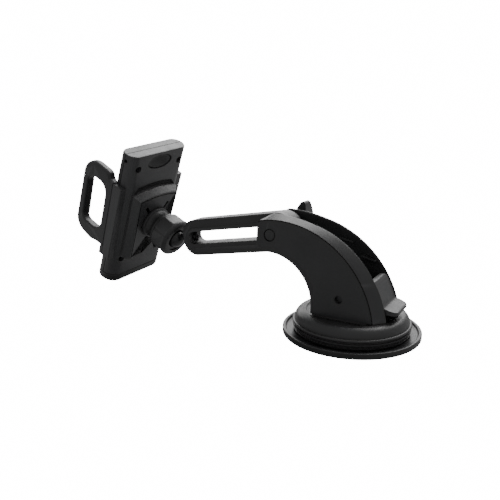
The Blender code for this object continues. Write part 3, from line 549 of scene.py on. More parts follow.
def arm_stations(count=56):
    """Inner edge, face edge and crest across the arm, from its tip to its foot."""
    found = [
        (Vector((-54.2, 0, 49.6)), Vector((-54.2, 0, 61.8)), Vector((-54.2, 0, 62.8))),
        (Vector((-52.6, 0, 47.8)), Vector((-52.6, 0, 63.5)), Vector((-51.8, 0, 65.0))),
    ]
    for k in range(count + 1):
        share = k / count
        inner = on_arc(INNER_ARC, math.radians(93.0 * (1 - share)))
        face = on_arc(FACE_ARC, math.radians(96.5 + (14.5 - 96.5) * share))
        crest = on_arc(CREST_ARC, math.radians(99.5 + (11.5 - 99.5) * share))
        crest.z += TIP_RISE * max(0.0, 1 - share / 0.28) ** 1.5
        found.append((inner, face, crest))
    foot = Vector((INNER_ARC[0] + INNER_ARC[2], 0, ARM_FOOT))
    found.append((foot, at_height(FACE_ARC, ARM_FOOT), at_height(CREST_ARC, ARM_FOOT)))
    return found


def arm_ring(inner, face, crest):
    """One closed loop round the U section at a station, near side first."""
    across = (face - inner).normalized()
    recess = COVER_THICKNESS + GAP
    floor = inner + across * FLOOR_THICKNESS
    lip = face + across * GAP
    wide, tall = half_width(face.z), crest_half(crest.z)
    half = [
        (inner, half_width(inner.z) - recess),
        (lip, wide - recess),
        (lip, wide - 0.15),
        (lip + across * 0.12, wide),
        (crest - (crest - lip) * 0.06, tall + 0.7),
        (crest - across * 0.12, tall + 0.1),
        (crest - across * 0.5, tall - 0.4),
        (crest - across * 1.2, tall - 0.6),
        (floor, crest_half(inner.z) - 0.6),
    ]
    near = [(point.x, -side, point.z) for point, side in half]
    far = [(point.x, side, point.z) for point, side in reversed(half)]
    return near + far


def rim_room():
    return tube(RIM_RADIUS - 2.6, RIM_RADIUS + 6.0, 10.0, RIM_TOP + GAP, 96)


def lever_room():
    """What the lever's strap passes through as it swings up, as a prism between the bands."""
    outline = [(20.8, 76.0 - 3.0 * k) for k in range(11)]
    outline += [(21.1, 41.5), (21.45, 37.6), (40.0, 36.6), (40.0, -45.0)]
    outline += [(16.2, -45.0 + 6.05 * k) for k in range(21)]
    points = []
    for reach, degrees in outline:
        angle = math.radians(degrees)
        points.append((LEVER_PIN.x + reach * math.cos(angle), LEVER_PIN.z + reach * math.sin(angle)))
    return prism(points, -LEVER_HALF - GAP, LEVER_HALF + GAP)


def arm_shell():
    """The arm's U section with its fork, bores, lever recess and two ledges on each inner wall."""
    arm = make_piece(ring_mesh([arm_ring(*station) for station in arm_stations()]), "arm")
    fork = [(-60, 38), (-22, 30), (-22, 50), (-18, 54), (-18, 72), (-60, 72)]
    shapes = [
        prism(fork, -CHANNEL_HALF, CHANNEL_HALF),
        moved(rod(BOLT_RADIUS + 0.15, -25, 25, 48, "Y"), AXLE.x, 0, AXLE.z),
        moved(rod(2.1, -25, 25, 32, "Y"), LEVER_PIN.x, 0, LEVER_PIN.z),
        block((-9, -9.2, 8), (16, 9.2, 22.5)),
    ]
    shapes += [moved(rod(1.35, 10.0, 18.9, 24), x, y) for x, y in FOOT_SCREWS]
    carve(arm, shapes + [rim_room(), lever_room()])
    for side in (-1, 1):
        for x, z in ((-8.5, 55.3), (5.5, 45.8)):
            ledge = block((-4.5, side * 9.0 - 0.9, -0.45), (4.5, side * 9.0 + 0.9, 0.45))
            turned_by(ledge, Matrix.Rotation(math.radians(12), 4, "Y"))
            moved(ledge, x, side * 1.1, z - 3.0)
            carve(arm, [ledge], "UNION")
    dress(arm, "base", "black_plastic", ["curved_arm"], bevel=0.25, angle=34)


def side_panel(side, name, replaced):
    """Thin cover let into the arm's side, with a bolt hole, a pin hole and a sloped neck."""
    rings = []
    for inner, face, _ in arm_stations():
        low, high = half_width(inner.z), half_width(face.z)
        edge = (inner - face).normalized()
        outer = face + edge * 0.15
        bevel = inner - edge * 0.7
        rounded = inner - edge * 0.2
        rings.append(
            [
                (inner.x, side * (low - COVER_THICKNESS), inner.z),
                (inner.x, side * (low - 0.65), inner.z),
                (rounded.x, side * (low - 0.2), rounded.z),
                (bevel.x, side * low, bevel.z),
                (outer.x, side * (high - 0.02), outer.z),
                (outer.x, side * (high - COVER_THICKNESS), outer.z),
            ]
        )
    cover = make_piece(ring_mesh(rings), name)
    carve(
        cover,
        [
            moved(rod(3.7, -25, 25, 64, "Y"), AXLE.x, 0, AXLE.z),
            moved(rod(2.3, -25, 25, 32, "Y"), LEVER_PIN.x, 0, LEVER_PIN.z),
            rim_room(),
        ],
    )
    start = half_width(ARM_FOOT) - 0.55
    neck = [(-30, 17.1, 0.6), (-30, 8, 0.0), (40, 8, 0.0), (40, 17.1, 0.6)]
    sloped = [(x, side * (start + out), z) for x, z, out in neck]
    straight = [(x, side * 24.0, z) for x, z, _ in neck]
    carve(cover, [ring_mesh([sloped, straight][::side])])
    dress(cover, "base", "black_plastic", [replaced], bevel=0.15, angle=34, segments=2)


def bolt_and_cap():
    """The pivot bolt's flat plastic cap in the near cover, and the bolt's shaft."""
    head = half_width(AXLE.z)
    cap = [
        (0, -head + 0.05),
        (2.6, -head + 0.05),
        (3.1, -head + 0.2),
        (3.25, -head + 0.5),
        (3.25, -head + COVER_THICKNESS - 0.1),
        (0, -head + COVER_THICKNESS - 0.1),
    ]
    cover = make_piece(moved(turned(cap, 64, "Y"), AXLE.x, 0, AXLE.z), "bolt_cap")
    dress(cover, "base", "black_plastic", bevel=0.0)
    shaft = [
        (0, -head + COVER_THICKNESS),
        (BOLT_RADIUS, -head + COVER_THICKNESS),
        (BOLT_RADIUS, KNOB_START + 8.6),
        (BOLT_RADIUS - 0.4, KNOB_START + 9.0),
        (0, KNOB_START + 9.0),
    ]
    bolt = make_piece(moved(turned(shaft, 48, "Y"), AXLE.x, 0, AXLE.z), "bolt_shaft")
    dress(bolt, "base", "dark_steel", ["pivot_bolt"], bevel=0.0)


def corner(x_tip, z_tip, radius, turn_x, turn_z, steps=12):
    """The waste outside of a rounded corner, as an outline in two axes."""
    start_x, start_z = x_tip - turn_x * radius, z_tip - turn_z * radius
    found = []
    for k in range(steps + 1):
        angle = math.pi / 2 * k / steps
        found.append(
            (start_x + turn_x * radius * math.sin(angle), start_z + turn_z * radius * math.cos(angle))
        )
    found.append((x_tip + turn_x, start_z))
    found.append((x_tip + turn_x, z_tip + turn_z))
    found.append((start_x, z_tip + turn_z))
    return found


def lever():
    """Strap in the arm's back, thin drooping tab, web and a hub on the pin."""
    low, thick = 22.8, 3.0
    strap = []
    for k in range(19):
        z = LEVER_TOP - 1.0 - (LEVER_TOP - 1.0 - low) * k / 18
        strap.append((at_height(CREST_ARC, z).x - LEVER_INSET, z))
    foot_x = strap[-1][0]
    tip = 29.6
    tab = [
        (foot_x + 0.5, 22.0),
        (foot_x + 1.4, 21.5),
        (foot_x + 3.6, 20.9),
        (tip - 1.4, 20.0),
        (tip - 0.6, 19.7),
        (tip - 0.15, 19.2),
        (tip, 18.5),
        (tip - 0.2, 18.0),
        (tip - 0.7, 17.8),
        (foot_x + 3.0, 18.3),
        (foot_x - 1.0, 16.6),
        (foot_x - 3.0, 16.6),
    ]
    inside = [(x - thick, z) for x, z in reversed(strap)]
    first = strap[0][0]
    head = [(first - thick, LEVER_TOP), (first - 1.4, LEVER_TOP), (first - 0.5, LEVER_TOP - 0.3)]
    obj = make_piece(prism(strap + tab + inside + head, -LEVER_HALF, LEVER_HALF), "lever")
    shapes = []
    for side in (-1, 1):
        edge = side * LEVER_HALF
        shapes.append(prism(corner(tip, edge, 5.0, 1, side), 10, 26, "Z"))
        shapes.append(prism(corner(edge, LEVER_TOP, 3.5, side, 1), 5, 30, "X"))
    carve(obj, shapes)
    web = prism([(-1.5, 20.2), (17.5, 17.5), (16.5, 30.5), (-1.5, 29.4)], -3.0, 3.0)
    hub = moved(rod(5.2, -7.0, 7.0, 64, "Y"), LEVER_PIN.x, 0, LEVER_PIN.z)
    carve(obj, [web, hub], "UNION")
    carve(obj, [moved(rod(2.06, -12, 12, 48, "Y"), LEVER_PIN.x, 0, LEVER_PIN.z)])
    dress(obj, "lever", "black_plastic", ["lock_lever"], bevel=0.5, angle=34)


def knob():
    """Two-wing knob, its wings thick at the hub and round at the tips."""
    start, end = KNOB_START, KNOB_END
    profile = [
        (0, start + 10.0),
        (4.6, start + 10.0),
        (4.6, start),
        (7.4, start),
        (8.2, start + 0.8),
        (7.9, end - 2.4),
        (7.2, end - 1.0),
        (5.8, end - 0.1),
        (0, end),
    ]
    obj = make_piece(moved(turned(profile, 72, "Y"), AXLE.x, 0, AXLE.z), "knob")
    flank = [(-4.2, 4.9), (-3.8, 7.2), (-3.2, 9.9), (-2.5, 12.0), (-1.9, 13.5)]
    tip = arc(0, 13.3, 1.8, 160, 20, 10)
    outline = flank + tip + [(-x, z) for x, z in reversed(flank)]
    for lobe in (0.0, math.pi):
        bm = prism(outline, start + 0.4, end - 0.6)
        for vert in bm.verts:
            if vert.co.y > start + 5:
                vert.co.y -= 0.5 * (vert.co.z - 4.9)
        turned_by(bm, Matrix.Rotation(KNOB_TURN + lobe, 4, "Y"))
        carve(obj, [moved(bm, AXLE.x, 0, AXLE.z)], "UNION")
    dress(obj, "knob", "black_plastic", ["wing_knob"], bevel=0.6, angle=38)


# ---------------------------------------------------------------- slotted link


def stadium(start, end, radius, steps=24):
    return arc(start, 0, radius, -90, -270, steps) + arc(end, 0, radius, 90, -90, steps)


def link():
    """Bar with a stepped border round its slot and rounded outer edges."""
    height = LINK_HALF_HEIGHT
    outline = arc(0, 0, height, -90, -270, 48)
    outline += arc(LINK_END - LINK_CORNER, height - LINK_CORNER, LINK_CORNER, 90, 0, 20)
    outline += arc(LINK_END - LINK_CORNER, LINK_CORNER - height, LINK_CORNER, 0, -90, 20)
    reach = LINK_HALF_WIDTH - 0.4
    obj = make_piece(soft_prism(outline, -reach, reach, 0.9), "link", LINK)
    slot_stop = SLOT_END - SLOT_HALF
    border = stadium(0, slot_stop, SLOT_HALF + 2.6)
    border = soft_prism(border, -LINK_HALF_WIDTH, LINK_HALF_WIDTH, 0.3)
    carve(obj, [border], "UNION", LINK)
    carve(
        obj,
        [
            prism(stadium(0, slot_stop, SLOT_HALF), -12, 12),
            rod(2.3, SLOT_END - 8, LINK_END + 4, 48, "X"),
            rod(3.2, SLOT_END - 8, SLOT_END, 48, "X"),
        ],
        matrix=LINK,
    )
    dress(obj, "link", "black_plastic", ["slotted_link"], bevel=0.15, angle=40, segments=2)


def link_screw():
    profile = [
        (0, SLOT_END - 1.9),
        (1.6, SLOT_END - 1.85),
        (2.4, SLOT_END - 1.5),
        (2.85, SLOT_END - 0.9),
        (2.85, SLOT_END - 0.25),
        (1.3, SLOT_END - 0.25),
        (1.3, SLOT_END + 4.4),
        (0, SLOT_END + 4.4),
    ]
    obj = make_piece(turned(profile, 48, "X"), "link_screw", LINK)
    carve(obj, cross_recess(1.5, 0.6, SLOT_END - 3, SLOT_END - 1.1, "X"), matrix=LINK)
    dress(obj, "link", "dark_steel", ["link_end_screw"], bevel=0.08, segments=2)


def ball():
    """Ball, thin neck with a fillet, flange and shank."""
    neck, flange = 2.4, 4.6
    profile = [
        (1.55, SLOT_END + 0.6),
        (2.05, SLOT_END + 0.6),
        (2.05, LINK_END + GAP),
        (flange - 0.2, LINK_END + GAP),
        (flange, LINK_END + 0.5),
        (flange - 0.2, LINK_END + 1.0),
        (neck + 0.9, LINK_END + 1.5),
        (neck + 0.2, LINK_END + 2.2),
        (neck, LINK_END + 3.2),
    ]
    first = math.asin(neck / BALL_RADIUS)
    count = 30
    for k in range(count + 1):
        angle = first + (math.pi - first) * k / count
        out = BALL_RADIUS * math.sin(angle) if k < count else 0.0
        profile.append((out, LINK_LENGTH - BALL_RADIUS * math.cos(angle)))
    profile += [(0, SLOT_END + 5.0), (1.55, SLOT_END + 5.0)]
    obj = make_piece(turned(profile, 72, "X"), "ball", LINK)
    dress(obj, "link", "black_gloss", ["ball_stud"], bevel=0.0)


# ---------------------------------------------------------------- ball socket


def claw_place(slot):
    across, up, lean = slot
    return Matrix.Translation((0, across, up)) @ Matrix.Rotation(math.radians(lean), 4, "X")


def cup():
    """Socket cup on a stepped round foot."""
    panel = BACK_PLANE + BOSS_HEIGHT + GAP
    cavity = []
    count = 16
    for k in range(count + 1):
        angle = math.radians(86.5 * (1 - k / count))
        out = SOCKET_RADIUS * math.sin(angle) if k < count else 0.0
        cavity.append((out, -SOCKET_RADIUS * math.cos(angle)))
    outer = [
        (0, panel),
        (11.3, panel),
        (11.4, panel + 0.2),
        (11.4, panel + 1.5),
        (11.1, panel + 1.9),
        (10.4, panel + 2.1),
        (9.9, panel + 2.7),
        (9.6, -16.2),
        (9.6, -14.6),
        (10.2, -13.4),
        (11.2, -12.8),
        (11.2, -11.2),
        (10.3, -10.9),
        (10.3, cavity[0][1]),
    ]
    obj = make_piece(turned(outer + cavity, 96, "X"), "cup", CRADLE)
    dress(obj, "cradle", "black_plastic", ["socket_cup"], bevel=0.12, angle=38, segments=2)


def collar():
    """Eight-sided nut with a chamfered lip over the ball."""
    front, back = 2.5, -10.4
    inside = []
    for k in range(9):
        angle = math.radians(90 - 16.3 * (1 - k / 8))
        inside.append((SOCKET_RADIUS * math.sin(angle), SOCKET_RADIUS * math.cos(angle)))
    profile = [
        (10.6, -0.3),
        (10.6, back),
        (COLLAR_RADIUS - 1.1, back),
        (COLLAR_RADIUS - 0.5, back + 0.3),
        (COLLAR_RADIUS - 0.1, back + 1.1),
        (COLLAR_RADIUS, back + 2.0),
        (COLLAR_RADIUS, 0.0),
        (COLLAR_RADIUS - 0.2, 0.7),
        (COLLAR_RADIUS - 0.9, 1.5),
        (COLLAR_RADIUS - 1.6, 2.2),
        (COLLAR_RADIUS - 2.3, front),
        (SOCKET_RADIUS + 0.5, front),
    ]
    obj = make_piece(turned(profile + inside, 144, "X"), "collar", CRADLE)
    flats = []
    for k in range(8):
        flat = block((back - 2, COLLAR_RADIUS - 0.75, -9), (-0.8, COLLAR_RADIUS + 4, 9))
        flats.append(turned_by(flat, Matrix.Rotation(math.radians(45 * k + 88), 4, "X")))
    carve(obj, flats, matrix=CRADLE)
    dress(obj, "collar", "black_plastic", ["collar_nut"], bevel=0.2, angle=34)


# ---------------------------------------------------------------- cradle shells


def thickness(v):
    share = (CRADLE_TOP - v) / (CRADLE_TOP - CRADLE_BOTTOM)
    return TOP_THICKNESS + (BOTTOM_THICKNESS - TOP_THICKNESS) * share


def half_section(v, side, shrink=0.0, split=0.22):
    """Half of the cradle's long rounded section: side +1 is the back, -1 the front."""
    steps = 24
    thick = thickness(v)
    middle = BACK_PLANE - thick / 2
    radius = thick / 2 - shrink
    flat = HALF_WIDTH - thick / 2
    found = []
    for edge, turn in ((-1, 0), (1, 1)):
        for k in range(steps + 1):
            angle = math.pi / 2 * (k / steps if turn == 0 else 1 - k / steps)
            out = max(radius * math.sin(angle), split)
            found.append((middle + side * out, edge * (flat + radius * math.cos(angle)), v))
    return found


def full_section(v, shrink):
    """The cradle's whole rounded section at a height."""
    return half_section(v, 1, shrink, 0.0)[:-1] + half_section(v, -1, shrink, 0.0)[:0:-1]


def half_shell(side, name):
    """Front or back half of the cradle's body, lofted with a small round at the top."""
    levels = [(FOOT_TOP, 0.3), (FOOT_TOP + 0.3, 0.0), (CRADLE_TOP - 0.9, 0.0)]
    levels += [(CRADLE_TOP - 0.32, 0.3), (CRADLE_TOP - 0.02, 0.9)]
    rings = [half_section(v, side, shrink) for v, shrink in levels]
    return make_piece(ring_mesh(rings), name, CRADLE)


def arch(half, top, bottom, sagitta, steps=32):
    """An outline in (w, v): straight sides and foot, with an arched top."""
    found = [(-half, bottom), (half, bottom)]
    for k in range(steps + 1):
        w = half - 2 * half * k / steps
        found.append((w, top - sagitta * (w / half) ** 2))
    return found


def cavity():
    rings = []
    for v in (-24.0, 30.0):
        n_front, n_back = BACK_PLANE - thickness(v) + 2.0, BACK_PLANE - 2.0
        rings.append([(n_front, -21, v), (n_back, -21, v), (n_back, 21, v), (n_front, 21, v)])
    return ring_mesh(rings)


def mechanism_room():
    """The shells' inner hollow, the racks' slots and the foot's rail slots."""
    shapes = [cavity()]
    for side, low in ((-1, 1.6), (1, -9.8)):
        near, far = sorted((side * 18, side * 32))
        shapes.append(block((BAR_FRONT - 0.4, near, low), (BAR_BACK + 0.4, far, low + 8.2)))
    for side in (-1, 1):
        shapes.append(
            block((-38.4, side * 11.0 - 2.4, FOOT_TOP - 3.0), (-34.0, side * 11.0 + 2.4, -23.0))
        )
    return shapes


def boss():
    """Raised arched back: a low step, a sloped frame and the flat panel."""
    outer = arch(BOSS_HALF, BOSS_TOP, -27.5, 2.6)
    middle = arch(BOSS_HALF - 0.4, BOSS_TOP - 0.3, -27.3, 2.6)
    inner = arch(16.8, 22.4, -26.8, 2.0)
    lip = arch(16.3, 21.9, -26.5, 1.9)
    rings = [
        [(BACK_PLANE - 1.0, w, v) for w, v in outer],
        [(BACK_PLANE + 1.3, w, v) for w, v in outer],
        [(BACK_PLANE + 1.8, w, v) for w, v in middle],
        [(BACK_PLANE + BOSS_HEIGHT - 0.5, w, v) for w, v in inner],
        [(BACK_PLANE + BOSS_HEIGHT, w, v) for w, v in lip],
    ]
    return ring_mesh([ring[::-1] for ring in rings])


def upper_groove():
    """A curved trough along the boss's top, deepest beside the boss, with rounded ends."""
    lower = [(w, v - 0.05) for w, v in arch(BOSS_HALF - 1.5, BOSS_TOP - 0.03, 0, 2.2, 32)[2:]]
    rings = []
    for level, width in ((-1.3, 0.8), (-1.1, 2.0), (-0.6, 3.2), (0.05, 4.0), (0.6, 4.5)):
        upper = []
        for w, v in reversed(lower):
            fade = 1 - max(0.0, abs(w) / (BOSS_HALF - 1.5) - 0.82) / 0.18 * 0.75
            upper.append((w, v + width * fade))
        rings.append([(BACK_PLANE + level, w, v) for w, v in lower + upper])
    return ring_mesh(rings)


def panel_groove():
    """A thin frame-shaped channel round the panel's top and sides."""
    outer = arch(15.9, 21.2, -24.0, 1.8)
    inner = arch(15.2, 20.5, -25.5, 1.75)
    low, high = BACK_PLANE + BOSS_HEIGHT - 0.9, BACK_PLANE + BOSS_HEIGHT + 2
    bm = bmesh.new()
    rings = []
    for outline in (outer, inner):
        for level in (low, high):
            rings.append([bm.verts.new((level, w, v)) for w, v in outline[1:] + outline[:1]])
    outer_low, outer_high, inner_low, inner_high = rings
    count = len(outer_low)
    for k in range(count - 1):
        bm.faces.new((outer_low[k], outer_low[k + 1], outer_high[k + 1], outer_high[k]))
        bm.faces.new((inner_low[k + 1], inner_low[k], inner_high[k], inner_high[k + 1]))
        bm.faces.new((outer_low[k + 1], outer_low[k], inner_low[k], inner_low[k + 1]))
        bm.faces.new((outer_high[k], outer_high[k + 1], inner_high[k + 1], inner_high[k]))
    for k in (0, count - 1):
        bm.faces.new((outer_low[k], outer_high[k], inner_high[k], inner_low[k]))
    return bm


def oval(half_w, half_v, centre_v, levels, steps=64):
    """A stack of ovals: levels are (n, scale)."""
    rings = []
    for n, scale in levels:
        ring = []
        for k in range(steps):
            angle = 2 * math.pi * k / steps
            ring.append((n, half_w * scale * math.cos(angle), centre_v + half_v * scale * math.sin(angle)))
        rings.append(ring)
    return ring_mesh(rings)


def back_shell():
    shell = half_shell(1, "shell_back")
    carve(shell, [upper_groove()], matrix=CRADLE)
    carve(shell, [boss()], "UNION", CRADLE)
    shapes = mechanism_room() + [panel_groove()]
    for slot in CLAW_SLOTS:
        bm = block((BACK_PLANE - 3, -1.1, -3.8), (BACK_PLANE + 8, 1.1, 3.8))
        shapes.append(turned_by(bm, claw_place(slot)))
    shapes.append(oval(*BUTTON_HALF, BUTTON_V, [(BACK_PLANE - 12, 1.0), (BACK_PLANE + 2, 1.0)]))
    for w, v in BACK_SCREWS:
        shapes.append(moved(rod(2.3, -4.2, 3.0, 40, "X"), BACK_PLANE, w, v))
        shapes.append(moved(rod(1.3, -16.0, 1.0, 24, "X"), BACK_PLANE, w, v))
    for side in (-1, 1):
        shapes.append(moved(rod(1.3, -2.0, 2.0, 24, "Y"), -33.0, side * HALF_WIDTH, 46.6))
    carve(shell, shapes, matrix=CRADLE)
    dress(shell, "cradle", "black_plastic", ["cradle_back"], bevel=0.22, angle=30)


def front_shell():
    shell = half_shell(-1, "shell_front")
    shapes = mechanism_room()
    for w, v in BACK_SCREWS:
        middle = BACK_PLANE - thickness(v) / 2
        shapes.append(moved(rod(1.15, -4.4, 1.0, 24, "X"), middle, w, v))
    shapes.append(oval(7.0, 3.6, BUTTON_V, [(BACK_PLANE - 10.6, 1.0), (BACK_PLANE + 2, 1.0)]))
    carve(shell, shapes, matrix=CRADLE)
    dress(shell, "cradle", "black_plastic", ["cradle_front"], bevel=0.2, angle=30, segments=2)


def back_screws():
    """Cross-head screws at the bottom of their wells."""
    for k, (w, v) in enumerate(BACK_SCREWS):
        middle = -thickness(v) / 2
        profile = [
            (0, middle - 4.0),
            (1.0, middle - 4.0),
            (1.0, -3.9),
            (2.0, -3.9),
            (2.0, -3.5),
            (1.6, -3.2),
            (0, -3.1),
        ]
        screw = moved(turned(profile, 36, "X"), BACK_PLANE, w, v)
        obj = make_piece(screw, f"back_screw_fine_{k + 1}", CRADLE)
        bars = cross_recess(1.2, 0.45, -3.7, -2.0, "X")
        carve(obj, [moved(bar, BACK_PLANE, w, v) for bar in bars], matrix=CRADLE)
        dress(obj, "cradle", "dark_steel", [f"back_screw_{k + 1}"], bevel=0.05, segments=2)


def button():
    """Dished oval release button, lower at its upper left."""
    half_w, half_v = BUTTON_HALF[0] - 0.35, BUTTON_HALF[1] - 0.35
    levels = [(-5.2, 1.0), (-1.1, 1.0), (-0.8, 0.98), (-0.65, 0.94), (-0.7, 0.88)]
    levels += [(-0.7 - 2.1 * math.sin(math.radians(9 * k)), 0.88 - 0.088 * k) for k in range(1, 10)]
    bm = oval(half_w, half_v, BUTTON_V, [(BACK_PLANE + n, scale) for n, scale in levels])
    for vert in bm.verts:
        if vert.co.x > BACK_PLANE - 4:
            across, up = vert.co.y / half_w, (vert.co.z - BUTTON_V) / half_v
            vert.co.x -= 1.3 * max(0.0, (up - across + 0.5) / 2)
            middle = 0.3 * (1.0 - min(1.0, math.hypot(across, up)))
            vert.co.y -= middle * half_w
            vert.co.z += middle * half_v
    obj = make_piece(bm, "button", CRADLE)
    dress(obj, "button", "black_plastic", ["release_button"], bevel=0.1, angle=40, segments=2)


def facing():
    """Soft ribbed facing that the phone lies on."""
    outline = []
    for cx, cz, start in ((13, 40, 0), (-13, 40, 90), (-13, -30, 180), (13, -30, 270)):
        outline += arc(cx, cz, 3.5, start, start + 90, 10)
    lean = math.atan((BOTTOM_THICKNESS - TOP_THICKNESS) / (CRADLE_TOP - CRADLE_BOTTOM))
    place = (
        CRADLE
        @ Matrix.Translation((BACK_PLANE - thickness(0.0), 0, 0))
        @ Matrix.Rotation(lean, 4, "Y")
    )
    obj = make_piece(prism(outline, -1.2, -GAP, "X"), "facing", place)
    ribs = []
    for k in range(17):
        v = -27.0 + 4.0 * k
        ribs.append(block((-3.0, -13.5, v - 0.45), (-0.85, 13.5, v + 0.45)))
    carve(obj, ribs, matrix=place)
    dress(obj, "cradle", "rubber", ["phone_pad"], bevel=0.15, angle=40, segments=2)


def foot():
    """Bottom band with the phone ledge and two rails."""
    levels = [(CRADLE_BOTTOM, 1.3), (CRADLE_BOTTOM + 0.25, 0.7), (CRADLE_BOTTOM + 0.8, 0.2)]
    levels += [(CRADLE_BOTTOM + 1.4, 0.0), (FOOT_TOP - GAP - 0.4, 0.0), (FOOT_TOP - GAP, 0.4)]
    rings = [full_section(v, shrink) for v, shrink in levels]
    obj = make_piece(ring_mesh(rings), "foot_fine", CRADLE)
    front = BACK_PLANE - BOTTOM_THICKNESS
    ledge = [
        (front + 4, CRADLE_BOTTOM + 0.4),
        (front - 11.0, CRADLE_BOTTOM + 0.9),
        (front - 11.9, CRADLE_BOTTOM + 1.3),
        (front - 12.2, CRADLE_BOTTOM + 2.2),
        (front - 12.2, CRADLE_BOTTOM + 7.0),
        (front - 11.9, CRADLE_BOTTOM + 7.6),
        (front - 10.8, CRADLE_BOTTOM + 7.6),
        (front - 10.3, CRADLE_BOTTOM + 7.0),
        (front - 10.1, CRADLE_BOTTOM + 4.4),
        (front - 9.2, CRADLE_BOTTOM + 3.6),
        (front + 4, CRADLE_BOTTOM + 3.4),
    ]
    shapes = [prism(ledge, -8.5, 8.5)]
    for side in (-1, 1):
        middle = side * 11.0
        shapes.append(
            block((-38.0, middle - 2.0, FOOT_TOP - 3.0), (-34.4, middle + 2.0, FOOT_TOP + 11.5))
        )
    carve(obj, shapes, "UNION", CRADLE)
    dress(obj, "foot", "black_plastic", ["foot"], bevel=0.3, angle=34, segments=2)


# ---------------------------------------------------------------- jaws


def loop_outline():
    """Outline of the jaw's D-shaped loop in (n, v)."""
    outer = [(-37.0, 29.0), (-40.2, 29.6), (-40.8, 30.3), (-41.6, 32.2), (-42.7, 33.3), (-44.8, 34.1)]
    outer += arc(-54.0, 22.4, 12.1, 86, 176, 28)
    outer += arc(-57.0, -12.6, 10.6, 185, 262, 20)
    outer += [(-50.5, -24.4), (-47.0, -23.4), (-44.0, -22.8), (-37.0, -22.4)]
    return outer


def loop_hole():
    right = arc(-50.2, 16.5, 7.2, 0, 90, 20)
    left = arc(-54.2, 16.7, 7.0, 90, 178, 20)
    low_left = arc(-56.0, -7.5, 5.6, 186, 268, 16)
    low_right = arc(-51.0, -5.2, 8.0, 278, 352, 20)
    return right + left + low_left + low_right


def jaw(side, name, replaced, body):
    """D-shaped loop with rounded limbs on a plate that hugs the cradle's narrow side."""
    low, high = sorted((side * 22.6, side * 28.4))
    obj = make_piece(soft_prism(loop_outline(), low, high, 1.9), name, CRADLE)
    carve(obj, [soft_prism(loop_hole(), low, high, 1.2, hole=True)], matrix=CRADLE)
    low, high = sorted((side * 20.5, side * 28.0))
    plate = [(-41.0, -29.5), (-30.4, -29.5), (-29.6, 27.8), (-38.0, 28.4)]
    carve(obj, [soft_prism(plate, low, high, 0.9)], "UNION", CRADLE)
    low, high = sorted((side * 27.3, side * 30.0))
    line = prism([(-37.9, -30.5), (-37.45, -30.5), (-37.15, 29.5), (-37.6, 29.5)], low, high)
    room = ring_mesh([full_section(v, -GAP) for v in (-60.0, 60.0)])
    carve(obj, [line, room], matrix=CRADLE)
    dress(obj, body, "black_plastic", [replaced], bevel=0.15, angle=40, segments=2)


# ---------------------------------------------------------------- carried-over nodes


def dress_cad_nodes(kept):
    """CAD nodes that stay in view get their slot's finish and softened edges."""
    for part in frame["record"]["subparts"]:
        node = nodes[part["node"]]
        node.data.materials.clear()
        node.data.materials.append(FINISHES[part["material_slot"]])
        if part["node"] in kept:
            soften = node.modifiers.new("soft_edges", "BEVEL")
            soften.width = 0.15 * MM
            soften.segments = 2
            soften.limit_method = "ANGLE"
            soften.angle_limit = math.radians(40)


# ---------------------------------------------------------------- studio


def seen_white(tree, lit, strength):
    """White where the camera looks straight at it, and the given shader to the other rays."""
    white = tree.nodes.new("ShaderNodeEmission")
    white.inputs["Strength"].default_value = strength
    path = tree.nodes.new("ShaderNodeLightPath")
    mix = tree.nodes.new("ShaderNodeMixShader")
    tree.links.new(path.outputs["Is Camera Ray"], mix.inputs["Fac"])
    tree.links.new(lit, mix.inputs[1])
    tree.links.new(white.outputs["Emission"], mix.inputs[2])
    return mix.outputs["Shader"]


def floor():
    bm = bmesh.new()
    bmesh.ops.create_grid(bm, x_segments=1, y_segments=1, size=4.0)
    bmesh.ops.translate(bm, verts=bm.verts, vec=(0, 0, -0.0004))
    mesh = bpy.data.meshes.new("floor")
    bm.to_mesh(mesh)
    bm.free()
    made, tree, shader = new_material("floor_white")
    shader.inputs["Base Color"].default_value = (0.35, 0.35, 0.35, 1.0)
    shader.inputs["Roughness"].default_value = 1.0
    shader.inputs["Specular IOR Level"].default_value = 0.0
    shown = seen_white(tree, shader.outputs["BSDF"], WHITE_STRENGTH)
    tree.links.new(shown, tree.nodes["Material Output"].inputs["Surface"])
    mesh.materials.append(made)
    obj = bpy.data.objects.new("floor", mesh)
    bpy.context.scene.collection.objects.link(obj)


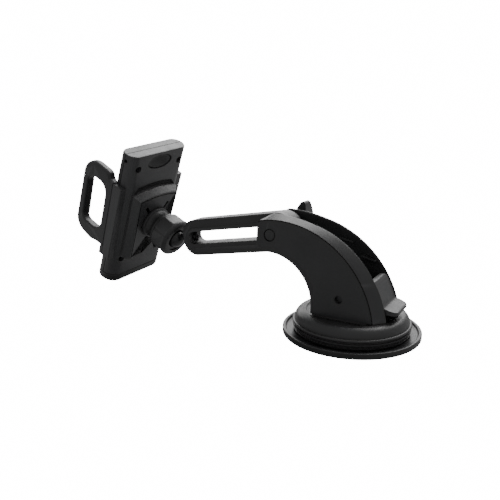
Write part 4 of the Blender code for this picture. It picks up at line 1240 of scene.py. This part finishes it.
def area_light(name, place, target, size, power):
    data = bpy.data.lights.new(name, "AREA")
    data.shape = "RECTANGLE"
    data.size, data.size_y = size
    data.energy = power
    lamp = bpy.data.objects.new(name, data)
    bpy.context.scene.collection.objects.link(lamp)
    lamp.location = place
    lamp.rotation_euler = (Vector(target) - Vector(place)).to_track_quat("-Z", "Y").to_euler()
    lamp.visible_camera = False


def studio():
    """White to the camera; a dim surround, a broad light overhead and a bright wall behind."""
    floor()
    world = bpy.data.worlds.new("studio")
    bpy.context.scene.world = world
    world.use_nodes = True
    tree = world.node_tree
    surround = tree.nodes["Background"]
    surround.inputs["Color"].default_value = (1.0, 1.0, 1.0, 1.0)
    surround.inputs["Strength"].default_value = SURROUND_STRENGTH
    shown = seen_white(tree, surround.outputs["Background"], WHITE_STRENGTH)
    tree.links.new(shown, tree.nodes["World Output"].inputs["Surface"])
    area_light("overhead", (-0.1, 0.6, 0.85), LIT_POINT, (1.1, 0.7), 13.0)
    area_light("rear_wall", (-0.8, 1.35, 0.6), LIT_POINT, (2.2, 0.6), 11.0)


def camera():
    data = bpy.data.cameras.new("view")
    data.sensor_width = 36.0
    data.lens = 41.03
    eye = bpy.data.objects.new("view", data)
    bpy.context.scene.collection.objects.link(eye)
    eye.location = EYE
    eye.rotation_euler = (EYE_PITCH, 0.0, EYE_HEADING)
    bpy.context.scene.camera = eye


camera()
suction_pad()
housing()
arm_shell()
side_panel(-1, "side_panel_near", "side_cover_near")
side_panel(1, "side_panel_far", "side_cover_far")
bolt_and_cap()
lever()
knob()
link()
link_screw()
ball()
cup()
collar()
back_shell()
front_shell()
back_screws()
button()
facing()
foot()
jaw(-1, "jaw_near_fine", "near_jaw", "jaw_left")
jaw(1, "jaw_far_fine", "far_jaw", "jaw_right")
dress_cad_nodes(
    {
        "knob_washer",
        "guide_bush",
        "knob_insert",
        "friction_washer_near",
        "friction_washer_far",
        "near_rack",
        "far_rack",
        "jaw_pinion",
        "near_grip",
        "far_grip",
    }
)
studio()
